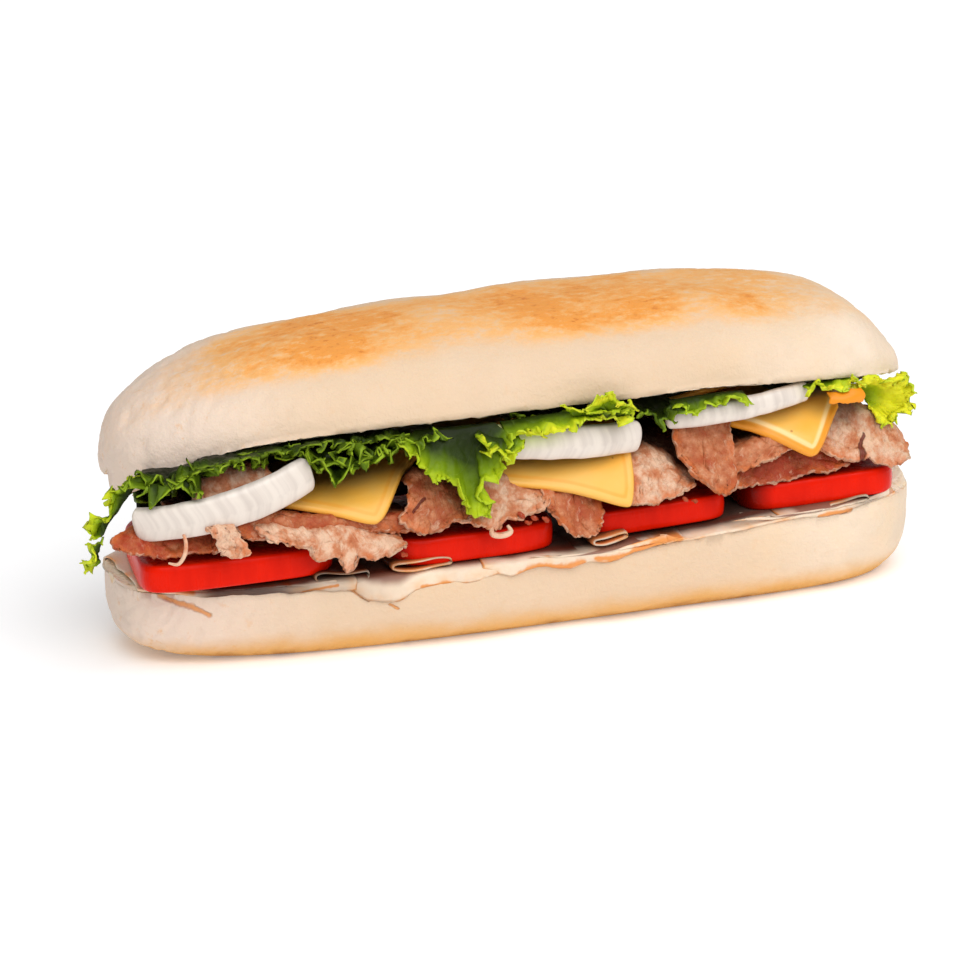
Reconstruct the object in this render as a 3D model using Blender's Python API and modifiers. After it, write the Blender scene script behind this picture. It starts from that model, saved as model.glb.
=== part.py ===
"""A filled submarine sandwich, lying on its flat base.

The long soft roll runs along X and is cut right through into a heel (lower half) and a crown (upper
half). Between them lie, from the bottom up: thin turkey slices, tomato slices, roast pork slices,
cheese slices, onion arcs and lettuce leaves. The served side faces -Y. Sizes are in metres, and the
origin is the middle of the base of the sandwich's bounding box.

Every soft layer follows one mound: level over the middle of the roll, then bent down over the two
long sides. A piece is drawn flat as (x, reach), where reach runs from the middle of the roll towards
the served side, and is laid on the mound at its own level, so pieces at different levels never meet.
"""

from math import acos, cos, pi, radians, sin

import bmesh
import bpy
from mathutils import Euler, Matrix, Vector, noise

# ---------------------------------------------------------------- driving dimensions

MM = 0.001
GAP = 0.4 * MM  # clearance kept between pieces that touch

# bread
HEEL_WIDTH = 77 * MM
HEEL_HEIGHT = 24.2 * MM
HEEL_RISE = 5.5 * MM  # the heel is this much thicker towards its right end
HEEL_RISE_FROM = 0 * MM
HEEL_RISE_TO = 105 * MM
CROWN_WIDTH = 79 * MM
CROWN_HEIGHT = 26.3 * MM
CROWN_LIFT = 68.8 * MM  # height of the crown's cut edge where it is highest
CROWN_CREST = 13 * MM  # and where that is
CROWN_DROOP = 5.8 * MM  # the arch is lower by this much at these distances from its crest
CROWN_DROOP_LEFT = 120 * MM
CROWN_DROOP_RIGHT = 110 * MM
CROWN_DROOP_POWER = 3.5
CROWN_CHIN = 6 * MM  # the left end laps down this much further, over the last stretch
CROWN_CHIN_FROM = 106 * MM
CROWN_HOLLOW = 1.8 * MM  # the crown's cut face is pushed up by the filling
DOME_POWER = 2.5
HEEL_POWER = 3.2
HEEL_FLATNESS = 1.13  # more gives a wider flat base
CRUST_WOBBLE = 0.7 * MM  # height of the slow unevenness of the crust
CRUST_LUMP = 28 * MM  # and its spacing
# each end of a half: reach from the middle, and the two powers that make it blunt
HEEL_LEFT = (123.5 * MM, 2.2, 3.9)
HEEL_RIGHT = (127.0 * MM, 8.0, 2.3)
HEEL_LEFT_BELLY = (3.4, 6.5)  # the two powers for the depth of the heel over each end
HEEL_RIGHT_BELLY = (8.0, 6.5)
CROWN_LEFT = (123.0 * MM, 2.8, 3.1)
CROWN_RIGHT = (123.5 * MM, 8.5, 2.4)
CROWN_LEFT_BROW = 3.4  # second power for the rise of the dome over each end
CROWN_RIGHT_BROW = 1.4
BREAD_RINGS = 22
BREAD_SEGMENTS = 20

# the mound that the soft layers follow
MOUND_FLOOR = 34.8 * MM
MOUND_RISE = 5.6 * MM  # its floor is this much higher towards the right end
MOUND_RISE_FROM = -30 * MM
MOUND_RISE_TO = 70 * MM
MOUND_FLAT = 26 * MM  # half width of its level middle
MOUND_BEND = 4 * MM  # radius of its shoulder at level 0
MOUND_NARROWING = 0.5 * MM  # the shoulder moves in by this much with each level
LEVEL_STEP = 3.4 * MM

TURKEY_THICKNESS = 1.2 * MM
PORK_THICKNESS = 2.4 * MM
CHEESE_THICKNESS = 2.6 * MM
CHEESE_SIDE = 50 * MM
TOMATO_THICKNESS = 7.8 * MM
ONION_WALL = 4.2 * MM
LEAF_THICKNESS = 1.6 * MM

# ---------------------------------------------------------------- shape functions


def smoothstep(low, high, value):
    """0 below low, 1 above high, with an even ease between them."""
    t = min(1.0, max(0.0, (value - low) / (high - low)))
    return t * t * (3 - 2 * t)


def signed_power(value, power):
    """value raised to power with its sign kept."""
    return abs(value) ** power * (1 if value >= 0 else -1)


def blunt(x, left, right):
    """Share of the full size that a bread half keeps at x, given its two ends."""
    reach, power, root = left if x < 0 else right
    return max(0.0, 1 - min(1.0, abs(x) / reach) ** power) ** (1 / root)


def heel_cut(x):
    """Height of the heel's cut face at x."""
    return HEEL_HEIGHT + HEEL_RISE * smoothstep(HEEL_RISE_FROM, HEEL_RISE_TO, x)


def crown_arch(x):
    """Height, at x, of the arch that the crown follows over the filling."""
    side = CROWN_DROOP_LEFT if x < CROWN_CREST else CROWN_DROOP_RIGHT
    return CROWN_LIFT - CROWN_DROOP * abs((x - CROWN_CREST) / side) ** CROWN_DROOP_POWER


def crown_cut(x):
    """Height of the crown's cut edge at x: the arch, with a chin that laps down at the left end."""
    return crown_arch(x) - CROWN_CHIN * smoothstep(CROWN_CHIN_FROM, CROWN_LEFT[0], -x)


def mound_floor(x):
    """Height of the top of the tomato layer at x, on which the roast pork lies."""
    return MOUND_FLOOR + MOUND_RISE * smoothstep(MOUND_RISE_FROM, MOUND_RISE_TO, x)


def on_mound(x, reach, level, fall, outset=0.0):
    """Point on the mound: reach is measured from the middle of the roll to the served side.

    level counts steps above the tomatoes; fall is the slope, in radians, of the hanging part;
    outset moves the shoulder outwards.
    """
    side = 1 if reach >= 0 else -1
    radius = MOUND_BEND + level * LEVEL_STEP
    flat = shoulder(level) + outset
    past = max(0.0, abs(reach) - flat)
    turn = min(fall, past / radius)
    straight = past - turn * radius
    out = min(abs(reach), flat) + radius * sin(turn) + straight * cos(fall)
    height = radius * cos(turn) - straight * sin(fall) - MOUND_BEND
    return Vector((x, -side * out, mound_floor(x) + height))


def shoulder(level):
    """Half width of the level part of the mound at a level."""
    return MOUND_FLAT - MOUND_NARROWING * level


def reach_of_drop(level, fall, drop, outset=0.0):
    """How far a piece reaches when its end hangs by drop below its own level."""
    radius = MOUND_BEND + level * LEVEL_STEP
    flat = shoulder(level) + outset
    bend_drop = radius * (1 - cos(fall))
    if drop < bend_drop:
        return flat + radius * acos(1 - drop / radius)
    return flat + radius * fall + (drop - bend_drop) / sin(fall)


# ---------------------------------------------------------------- materials and objects

COLLECTION = "submarine_sandwich"
MATERIALS = {
    # slot: (base colour, roughness)
    "crust": ((0.84, 0.68, 0.49, 1), 0.7),
    "turkey": ((0.87, 0.70, 0.55, 1), 0.45),
    "tomato": ((0.72, 0.03, 0.01, 1), 0.2),
    "roast_pork": ((0.55, 0.27, 0.20, 1), 0.4),
    "cheese": ((0.93, 0.55, 0.12, 1), 0.35),
    "onion": ((0.83, 0.80, 0.78, 1), 0.25),
    "lettuce": ((0.22, 0.42, 0.02, 1), 0.4),
}


def make_material(name):
    material = bpy.data.materials.new(name)
    material.use_nodes = True
    shader = material.node_tree.nodes["Principled BSDF"]
    colour, roughness = MATERIALS[name]
    shader.inputs["Base Color"].default_value = colour
    shader.inputs["Roughness"].default_value = roughness
    shader.inputs["Metallic"].default_value = 0
    material.diffuse_color = colour


def add_piece(name, bm, material):
    """Puts a bmesh into a new object in the sandwich's collection."""
    mesh = bpy.data.meshes.new(name)
    bm.to_mesh(mesh)
    bm.free()
    mesh.shade_smooth()
    mesh.set_sharp_from_angle(angle=radians(50))
    mesh.materials.append(bpy.data.materials[material])
    piece = bpy.data.objects.new(name, mesh)
    bpy.data.collections[COLLECTION].objects.link(piece)
    return piece


def add_sheet(name, material, thickness, columns, rows, place):
    """A thin slice: a grid over (u, v) in -1..1, each point placed by place, made solid upwards."""
    bm = bmesh.new()
    bmesh.ops.create_grid(bm, x_segments=columns, y_segments=rows, size=1)
    for vert in bm.verts:
        vert.co = place(vert.co.x, vert.co.y)
    bm.normal_update()
    if sum(face.normal.z * face.calc_area() for face in bm.faces) < 0:
        bmesh.ops.reverse_faces(bm, faces=bm.faces)
    piece = add_piece(name, bm, material)
    solid = piece.modifiers.new("thickness", "SOLIDIFY")
    solid.thickness = thickness
    solid.offset = 1
    solid.use_even_offset = False
    return piece


# ---------------------------------------------------------------- bread


def add_bread(name, section):
    """One half of the roll: a sphere with its poles turned to +-X, each point placed by section."""
    bm = bmesh.new()
    bmesh.ops.create_uvsphere(bm, u_segments=BREAD_SEGMENTS, v_segments=BREAD_RINGS, radius=1)
    bmesh.ops.rotate(bm, verts=bm.verts, matrix=Matrix.Rotation(pi / 2, 3, "Y"))
    for vert in bm.verts:
        around = Vector((vert.co.y, vert.co.z))
        if around.length > 1e-6:
            around.normalize()
        vert.co = section(signed_power(vert.co.x, 0.75), around.x, around.y)
    bmesh.ops.recalc_face_normals(bm, faces=bm.faces)
    return add_piece(name, bm, "crust")


def crown_section(along, side, up):
    """The crown: a dome above an arched, slightly hollow cut face."""
    x = along * (CROWN_LEFT[0] if along < 0 else CROWN_RIGHT[0])
    width = blunt(x, CROWN_LEFT, CROWN_RIGHT)
    brow = blunt(x, (*CROWN_LEFT[:2], CROWN_LEFT_BROW), (*CROWN_RIGHT[:2], CROWN_RIGHT_BROW))
    across = signed_power(side, 2 / DOME_POWER)
    y = across * width * CROWN_WIDTH / 2
    if up <= 1e-6:
        hollow = CROWN_HOLLOW * width * (1 - across**2)
        return Vector((x, y, crown_cut(x) + hollow))
    top = crown_arch(x) + CROWN_HEIGHT * brow
    share = up ** (2 / DOME_POWER)
    lumps = CRUST_WOBBLE * share * brow * noise.noise(Vector((x, y, 0)) / CRUST_LUMP)
    return Vector((x, y, crown_cut(x) + (top - crown_cut(x)) * share + lumps))


def heel_section(along, side, up):
    """The heel: a flat base, round lower edges and a nearly level cut face."""
    x = along * (HEEL_LEFT[0] if along < 0 else HEEL_RIGHT[0])
    width = blunt(x, HEEL_LEFT, HEEL_RIGHT)
    y = signed_power(side, 2 / HEEL_POWER) * width * HEEL_WIDTH / 2
    belly = blunt(x, (HEEL_LEFT[0], *HEEL_LEFT_BELLY), (HEEL_RIGHT[0], *HEEL_RIGHT_BELLY))
    depth = HEEL_FLATNESS * max(0.0, -up) ** (2 / HEEL_POWER) * belly
    return Vector((x, y, heel_cut(x) * max(0.0, 1 - depth)))


# ---------------------------------------------------------------- turkey


def heel_edge(x):
    """Half width of the heel's cut face at x."""
    return blunt(x, HEEL_LEFT, HEEL_RIGHT) * HEEL_WIDTH / 2


def add_turkey(number, left, right, front_hang, back_hang):
    """A thin slice across the heel, with its edges hanging over the two long sides."""
    on_heel = 0.8  # share of each half of the slice that lies on the cut face

    def place(u, v):
        x = left + (right - left) * (u + 1) / 2
        side = -1 if v < 0 else 1
        brink = heel_edge(x) + 2 * GAP
        past = max(0.0, abs(v) - on_heel) / (1 - on_heel)
        hang = past * (front_hang if v < 0 else back_hang) * (1 - 0.3 * abs(u) ** 4)
        wave = 0.4 * MM * sin(x / (5 * MM)) * past
        out = min(1.0, abs(v) / on_heel) * brink + past * MM + wave
        return Vector((x, side * out, heel_cut(x) + GAP - hang))

    add_sheet(f"turkey_slice_{number}", "turkey", TURKEY_THICKNESS, 6, 10, place)


# ---------------------------------------------------------------- tomato


def add_tomato(number, centre, base, radius, lean):
    """A thick round tomato slice with softened rims, leaning up to the right."""
    bm = bmesh.new()
    bmesh.ops.create_cone(
        bm,
        cap_ends=True,
        segments=28,
        radius1=radius,
        radius2=radius * 0.985,
        depth=TOMATO_THICKNESS,
    )
    piece = add_piece(f"tomato_slice_{number}", bm, "tomato")
    piece.location = (centre[0], centre[1], base + TOMATO_THICKNESS / 2)
    piece.rotation_euler = (0, -lean, 0)
    rim = piece.modifiers.new("soft rim", "BEVEL")
    rim.width = 1.3 * MM
    rim.segments = 1
    rim.limit_method = "ANGLE"


# ---------------------------------------------------------------- roast pork


def add_pork(number, x, width, level, drop, fall, outset=0.0):
    """A slice laid across the mound: its front end hangs by drop, its back end by a little less.

    Its two long edges wander, its corners are drawn in, and it ripples along its length.
    """
    back_drop = 6 * MM
    wander = 0.6 * MM
    fall = radians(fall)
    front_end = reach_of_drop(level, fall, drop, outset)
    back_end = reach_of_drop(level, fall, back_drop)

    def place(u, v):
        reach = -back_end + (front_end + back_end) * (1 - v) / 2
        taper = 1 - 0.35 * abs(v) ** 5
        side = u * taper * width / 2 + wander * sin(reach / (5 * MM))
        ripple = 0.1 * sin(4 * u + reach / (7 * MM))
        push = outset if reach > 0 else 0
        return on_mound(x + side, reach, level + ripple, fall, push)

    add_sheet(f"pork_slice_{number}", "roast_pork", PORK_THICKNESS, 3, 10, place)


# ---------------------------------------------------------------- cheese


def add_cheese(number, x, drop, turn, fall, level, sag=0.0, side=1):
    """A square slice, turned so that one corner hangs by drop over the side of the mound at x.

    sag lowers the edge opposite the hanging corner's edge, in levels.
    """
    fall = radians(fall)
    turn = radians(turn)
    corner = Vector((x, reach_of_drop(level, fall, drop)))
    along = Vector((-cos(turn), -sin(turn)))
    inward = Vector((sin(turn), -cos(turn)))

    def place(u, v):
        from_corner = (u + 1) / 2
        flat = corner + CHEESE_SIDE * (from_corner * along + (v + 1) / 2 * inward)
        return on_mound(flat.x, flat.y * side, level - sag * from_corner, fall)

    add_sheet(f"cheese_slice_{number}", "cheese", CHEESE_THICKNESS, 5, 6, place)


# ---------------------------------------------------------------- onion


def add_onion(number, front, base, radius, sweep, tilt, height, facing=0.0):
    """An arc of an onion ring: a rounded wall section swept about the ring's axis.

    front is where the middle of its outer wall stands, base the height of its lower edge there.
    """
    bm = bmesh.new()
    half_wall = ONION_WALL / 2
    half_height = height / 2
    count = 8
    section = []
    for i in range(count):
        angle = 2 * pi * (i + 0.5) / count
        out = radius - half_wall + half_wall * signed_power(cos(angle), 0.5)
        section.append(bm.verts.new((0, -out, half_height * signed_power(sin(angle), 0.5))))
    face = bm.faces.new(section)
    sweep = radians(sweep)
    bmesh.ops.rotate(bm, verts=bm.verts, matrix=Matrix.Rotation(-sweep / 2, 3, "Z"))
    bmesh.ops.spin(bm, geom=[face], cent=(0, 0, 0), axis=(0, 0, 1), angle=sweep, steps=10)
    bmesh.ops.recalc_face_normals(bm, faces=bm.faces)
    piece = add_piece(f"onion_arc_{number}", bm, "onion")
    turn = Euler([radians(angle) for angle in (*tilt, facing)])
    piece.rotation_euler = turn
    piece.location = Vector((*front, base)) - turn.to_matrix() @ Vector((0, -radius, -half_height))


# ---------------------------------------------------------------- lettuce


def add_leaf(number, left, right, front_drop, back_drop, ruffle=3 * MM, waves=4):
    """A leaf laid across the roll under the crown, with ruffled margins at both long sides.

    front_drop and back_drop are how far the two margins hang. What reaches past an end of the roll
    narrows and hangs down over it.
    """
    end = 115 * MM
    under_crown = 0.6  # share of each half of the leaf that lies flat

    def place(u, v):
        flat_x = left + (right - left) * (u + 1) / 2
        over = max(0.0, abs(flat_x) - end)
        x = flat_x - 0.45 * over * (1 if flat_x > 0 else -1)
        past = max(0.0, abs(v) - under_crown) / (1 - under_crown)
        inner = 0.5 * CROWN_WIDTH * blunt(min(0.108, max(-0.108, x)), CROWN_LEFT, CROWN_RIGHT)
        ripple = ruffle * past * sin(waves * pi * u + 2.5 * v)
        out = inner * min(1.0, abs(v) / under_crown) + past * (6 * MM + 0.3 * ripple)
        out *= 1 - 0.6 * min(1.0, over / (12 * MM))
        hang = (front_drop if v < 0 else back_drop) * past**2
        under = crown_cut(max(-CROWN_LEFT[0], x)) - LEAF_THICKNESS - 2 * GAP
        z = under - hang - 0.85 * over + 0.2 * ripple
        return Vector((x + 0.5 * ripple, out * (-1 if v < 0 else 1), z))

    add_sheet(f"lettuce_leaf_{number}", "lettuce", LEAF_THICKNESS, 10, 10, place)


# ---------------------------------------------------------------- the sandwich


def stand_on_origin():
    """Parents every piece to an empty, placed so that the origin is the middle of the base."""
    bpy.context.view_layer.update()
    depsgraph = bpy.context.evaluated_depsgraph_get()
    pieces = list(bpy.data.collections[COLLECTION].objects)
    points = []
    for piece in pieces:
        solid = piece.evaluated_get(depsgraph).to_mesh()
        points += [piece.matrix_world @ vert.co for vert in solid.vertices]
    low = Vector(min(point[axis] for point in points) for axis in range(3))
    high = Vector(max(point[axis] for point in points) for axis in range(3))
    stand = bpy.data.objects.new("stand", None)
    stand.location = (-(low.x + high.x) / 2, -(low.y + high.y) / 2, -low.z)
    bpy.data.collections[COLLECTION].objects.link(stand)
    for piece in pieces:
        piece.parent = stand


def main():
    for old in list(bpy.data.objects):
        bpy.data.objects.remove(old)
    collection = bpy.data.collections.new(COLLECTION)
    bpy.context.scene.collection.children.link(collection)
    for name in MATERIALS:
        make_material(name)

    add_bread("heel", heel_section)
    add_bread("crown", crown_section)

    # number, left end, right end, hang over the front and over the back
    add_turkey(1, -112 * MM, -52 * MM, 1.5 * MM, 2 * MM)
    add_turkey(2, -50 * MM, 4 * MM, 5 * MM, 3 * MM)
    add_turkey(3, 6 * MM, 58 * MM, 4 * MM, 4 * MM)
    add_turkey(4, 60 * MM, 114 * MM, 4 * MM, 2 * MM)

    # number, centre, height of the lower face, radius, lean
    add_tomato(1, (-92 * MM, -5 * MM), 26.3 * MM, 30.8 * MM, 0)
    add_tomato(2, (-20.5 * MM, -7 * MM), 26.3 * MM, 30 * MM, 0)
    add_tomato(3, (38 * MM, -9 * MM), 29.3 * MM, 26.5 * MM, radians(2))
    add_tomato(4, (92 * MM, -9 * MM), 31.2 * MM, 26.5 * MM, radians(1.5))

    # number, middle x, width, level, drop of the front end, slope of the front end, outset
    add_pork(1, -107 * MM, 30 * MM, 0, 0.4 * MM, 30, 9 * MM)
    add_pork(2, -67 * MM, 38 * MM, 0, 0.4 * MM, 35, 9 * MM)
    add_pork(3, -69 * MM, 42 * MM, 1, 1 * MM, 35, 9 * MM)
    add_pork(4, -100 * MM, 12 * MM, 1.8, 5 * MM, 60, 10 * MM)
    add_pork(5, -96 * MM, 22 * MM, 6, 2 * MM, 35)
    add_pork(6, -38 * MM, 22 * MM, 3.4, 9 * MM, 66)
    add_pork(7, -13 * MM, 22 * MM, 2, 8 * MM, 55, 4 * MM)
    add_pork(8, 9 * MM, 15 * MM, 1, 10 * MM, 68, 4 * MM)
    add_pork(9, 33 * MM, 24 * MM, 3, 13 * MM, 60)
    add_pork(10, 52 * MM, 20 * MM, 4, 16 * MM, 62)
    add_pork(11, 69 * MM, 22 * MM, 2, 5 * MM, 45, 4 * MM)
    add_pork(12, 76 * MM, 40 * MM, 0, 0.4 * MM, 30, 9 * MM)
    add_pork(13, 103 * MM, 26 * MM, 3, 12 * MM, 60)

    # number, x of the hanging corner, drop of the corner, turn, slope, level
    add_cheese(1, -52 * MM, 9 * MM, 25, 55, 4.8, 1.2)
    add_cheese(2, 24 * MM, 14.5 * MM, 18, 62, 4.4)
    add_cheese(3, 84 * MM, 10.5 * MM, 36, 55, 5)
    add_cheese(4, -8 * MM, 10 * MM, 28, 55, 6, 0, -1)
    add_cheese(5, 70 * MM, 10 * MM, 24, 55, 6, 0, -1)

    # number, front point, height there, radius, sweep, tilts, wall height, facing
    add_onion(1, (-97 * MM, -43 * MM), 45 * MM, 38 * MM, 94, (11, -6), 10.5 * MM, -8)
    add_onion(2, (6 * MM, -41 * MM), 55.8 * MM, 36 * MM, 100, (2, -2), 9 * MM)
    add_onion(3, (66 * MM, -40 * MM), 60.6 * MM, 34 * MM, 104, (0, -1), 6 * MM)
    add_onion(4, (-68 * MM, 39 * MM), 43 * MM, 26 * MM, 76, (6, 2), 9 * MM, 180)

    # number, left end, right end, drop of the front and of the back margin
    add_leaf(1, -134 * MM, -50 * MM, 2 * MM, 5 * MM)
    add_leaf(2, -48 * MM, -14 * MM, 20 * MM, 8 * MM)
    add_leaf(3, -12 * MM, 25 * MM, 5 * MM, 5 * MM)
    add_leaf(4, 27 * MM, 50 * MM, 7 * MM, 7 * MM)
    add_leaf(5, 97 * MM, 124 * MM, 4 * MM, 4 * MM)

    stand_on_origin()


main()
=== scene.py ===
"""The looks of a filled submarine sandwich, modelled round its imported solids.

Each piece of the sandwich is made again here as a fine mesh that stands for its plain solid: the roll
with its toasted crust, draped turkey, tomato slices, frayed roast pork, cheese with hanging corners,
onion arcs and frilly lettuce. Lengths in the settings are metres; the tables of pieces are in
millimetres, measured from the middle of the roll's base, with the served side at -Y.
"""

from math import acos, cos, pi, radians, sin

import bpy
import numpy as np
from bpy.props import FloatProperty, FloatVectorProperty, PointerProperty
from mathutils import Euler, Matrix, Vector, noise


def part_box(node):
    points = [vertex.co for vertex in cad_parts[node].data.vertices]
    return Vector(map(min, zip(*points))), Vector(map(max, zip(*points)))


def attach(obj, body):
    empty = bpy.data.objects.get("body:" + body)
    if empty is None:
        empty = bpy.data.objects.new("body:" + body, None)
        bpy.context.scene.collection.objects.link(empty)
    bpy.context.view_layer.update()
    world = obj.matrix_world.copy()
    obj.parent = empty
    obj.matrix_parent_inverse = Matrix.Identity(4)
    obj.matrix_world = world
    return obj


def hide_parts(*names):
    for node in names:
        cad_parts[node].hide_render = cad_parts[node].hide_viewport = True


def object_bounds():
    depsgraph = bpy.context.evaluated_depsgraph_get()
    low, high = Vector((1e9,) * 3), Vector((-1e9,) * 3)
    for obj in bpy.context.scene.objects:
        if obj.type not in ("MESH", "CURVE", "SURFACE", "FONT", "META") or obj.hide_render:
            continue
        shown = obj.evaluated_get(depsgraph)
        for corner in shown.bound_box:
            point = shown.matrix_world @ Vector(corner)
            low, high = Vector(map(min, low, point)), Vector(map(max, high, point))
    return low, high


bl_info = {
    "name": "Submarine sandwich",
    "version": (1, 0, 0),
    "blender": (4, 5, 0),
    "location": "3D View > Sidebar > Sandwich",
    "description": "Makes the bread, fillings and studio of a submarine sandwich",
    "category": "Add Mesh",
}

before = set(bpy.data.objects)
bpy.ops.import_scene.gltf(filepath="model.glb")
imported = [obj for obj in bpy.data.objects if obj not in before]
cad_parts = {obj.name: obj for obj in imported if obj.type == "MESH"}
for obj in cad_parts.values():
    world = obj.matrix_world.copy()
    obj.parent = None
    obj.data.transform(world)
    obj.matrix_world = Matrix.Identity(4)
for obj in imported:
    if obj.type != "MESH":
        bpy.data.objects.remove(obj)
CAD_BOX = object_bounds()

MM = 0.001
HEEL_LOW, HEEL_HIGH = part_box("heel")

# ---------------------------------------------------------------- shape of the roll and its filling

# each end of a bread half: reach from the middle in mm, and the two powers that make it blunt
HEEL_LEFT = (123.5, 2.2, 3.9)
HEEL_RIGHT = (127.0, 8.0, 2.3)
HEEL_LEFT_BELLY = (123.5, 3.4, 6.5)
HEEL_RIGHT_BELLY = (127.0, 8.0, 6.5)
CROWN_LEFT = (123.0, 2.8, 3.1)
CROWN_RIGHT = (123.5, 8.5, 2.4)
CROWN_LEFT_BROW = (123.0, 2.8, 3.4)
CROWN_RIGHT_BROW = (123.5, 8.5, 1.4)
HEEL_HALF_WIDTH = 38.5
HEEL_HEIGHT = 24.2
HEEL_RISE = 5.5  # the heel is this much thicker at its right end, growing over this stretch
HEEL_RISE_SPAN = (0, 105)
HEEL_POWER = 3.2
HEEL_FLATNESS = 1.13
HEEL_LIP = 0.9  # the heel's edge is set down by this much, and by the next further at the right
HEEL_LIP_RIGHT = 1.5
CROWN_HALF_WIDTH = 39.5
CROWN_HEIGHT = 26.3
DOME_POWER = 2.5
ARCH_HEIGHT = 68.8  # the crown's cut edge at its crest, and how it droops to both sides
ARCH_CREST = 13
ARCH_DROOP = 5.8
ARCH_DROOP_POWER = 3.5
ARCH_REACH_LEFT = 120
ARCH_REACH_RIGHT = 110
CHIN = 6  # the crown's left end laps down by this much
CHIN_SPAN = (106, 123)
SERVED_LAP = 2.6  # and its served edge by this much near the left end
CUT_HOLLOW = 1.8  # the crown's cut face is pushed up in the middle
CUT_LIP = 1.0  # thickness of the crown's cut edge
TORN = 0.5  # and how unevenly it is torn
MOUND_HEIGHT = 34.8  # top of the tomato layer at the left, and its rise over the stretch below
MOUND_RISE = 5.6
MOUND_RISE_SPAN = (-30, 70)

# fineness of the meshes: rings and points round a ring, or points across and down
BREAD_RINGS = (200, 150)
TURKEY_GRID = (84, 46)
LOOP_GRID = (44, 16)
TOMATO_ROUND = 130
PORK_ACROSS = 74
PORK_BACK_ROWS = 14
PORK_FRONT_ROWS = 48
STRAND_RINGS = (28, 10)
CHEESE_GRID = 58
TAB_GRID = (30, 12)
ONION_RINGS = (90, 44)
BED_GRID = 50
TUCK_GRID = (40, 14)
LEAF_ROWS = 26
LEAF_COLUMNS_PER_MM = 2.5
LEAF_COLUMNS_LEAST = 60

# the frame's place of the roll's middle: halfway between the heel's two ends, which differ in reach
ORIGIN = np.array(
    [
        (HEEL_LOW[0] + HEEL_HIGH[0]) / 2 - (HEEL_RIGHT[0] - HEEL_LEFT[0]) / 2 * MM,
        (HEEL_LOW[1] + HEEL_HIGH[1]) / 2,
        HEEL_LOW[2],
    ]
)


def smoothstep(low, high, value):
    """0 below low, 1 above high, with an even ease between them."""
    t = np.clip((value - low) / (high - low), 0, 1)
    return t * t * (3 - 2 * t)


def signed_power(value, power):
    """value raised to power with its sign kept."""
    return np.sign(value) * np.abs(value) ** power


def blunt(x, left, right):
    """Share of the full size that a bread half keeps at x, given its two ends."""
    reach, power, root = left if x < 0 else right
    return max(0.0, 1 - min(1.0, abs(x) / reach) ** power) ** (1 / root)


def heel_cut(x):
    """Height of the heel's cut face at x."""
    return HEEL_HEIGHT + HEEL_RISE * smoothstep(*HEEL_RISE_SPAN, x)


def crown_arch(x):
    """Height, at x, of the arch that the crown follows over the filling."""
    reach = ARCH_REACH_LEFT if x < ARCH_CREST else ARCH_REACH_RIGHT
    return ARCH_HEIGHT - ARCH_DROOP * abs((x - ARCH_CREST) / reach) ** ARCH_DROOP_POWER


def crown_cut(x):
    """Height of the crown's cut edge at x: the arch, with a chin that laps down at the left end."""
    return crown_arch(x) - CHIN * smoothstep(*CHIN_SPAN, -x)


def mound_floor(x):
    """Height of the top of the tomato layer at x, on which the roast pork lies."""
    return MOUND_HEIGHT + MOUND_RISE * smoothstep(*MOUND_RISE_SPAN, x)


def fuller_side(x):
    """0 over the left of the heel, 1 over its right, where the filling is fuller."""
    return smoothstep(-20, 50, x)


# the mound of filling: height of one level, radius of its bend, and half width of its level part
LEVEL_STEP = 3.4
MOUND_BEND = 4.0
SHOULDER = 26
SHOULDER_STEP = 0.5


def shoulder(level):
    """Half width of the level part of the mound at a level."""
    return SHOULDER - SHOULDER_STEP * level


def on_mound(x, reach, level, fall):
    """Point on the mound of filling: reach runs from the middle of the roll to the served side."""
    side = 1 if reach >= 0 else -1
    radius = MOUND_BEND + level * LEVEL_STEP
    past = max(0.0, abs(reach) - shoulder(level))
    turn = min(fall, past / radius)
    straight = past - turn * radius
    out = min(abs(reach), shoulder(level)) + radius * sin(turn) + straight * cos(fall)
    height = radius * cos(turn) - straight * sin(fall) - MOUND_BEND
    return (x, -side * out, mound_floor(x) + height)


def reach_of_drop(level, fall, drop):
    """How far a slice reaches when its end hangs by drop below its own level."""
    radius = MOUND_BEND + level * LEVEL_STEP
    bend_drop = radius * (1 - cos(fall))
    if drop < bend_drop:
        return shoulder(level) + radius * acos(1 - drop / radius)
    return shoulder(level) + radius * fall + (drop - bend_drop) / sin(fall)


# ---------------------------------------------------------------- curves, grids and noise


def smooth(values, at, t):
    """Reads values, given at the places at, along a smooth curve through them at the places t."""
    values = np.asarray(values, float)
    at = np.asarray(at, float)
    slope = np.gradient(values, at, axis=0)
    i = np.clip(np.searchsorted(at, t, side="right") - 1, 0, len(at) - 2)
    shape = (-1,) + (1,) * (values.ndim - 1)
    span = (at[i + 1] - at[i]).reshape(shape)
    s = (np.asarray(t) - at[i]).reshape(shape) / span
    start = (1 + 2 * s) * (1 - s) ** 2 * values[i] + s * (1 - s) ** 2 * span * slope[i]
    end = s**2 * (3 - 2 * s) * values[i + 1] + s**2 * (s - 1) * span * slope[i + 1]
    return start + end


def rail(points, t):
    """Points at t, 0 to 1, on a smooth curve through a few points."""
    points = np.asarray(points, float)
    steps = np.linalg.norm(np.diff(points, axis=0), axis=1)
    at = np.concatenate(([0], np.cumsum(steps))) / steps.sum()
    return smooth(points, at, t)


def loft(rails, stations, across, down):
    """A grid of points, rows down and columns across, on a skin over the rails."""
    return smooth([rail(points, across) for points in rails], stations, down)


def spread(count, ends=0.4):
    """count places from 0 to 1 that lie closer together near both ends."""
    t = np.linspace(0, 1, count)
    return (1 - ends) * t + ends * (1 - np.cos(pi * t)) / 2


def circle(count):
    """count angles evenly round a full turn."""
    return np.linspace(0, 2 * pi, count, endpoint=False)


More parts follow.
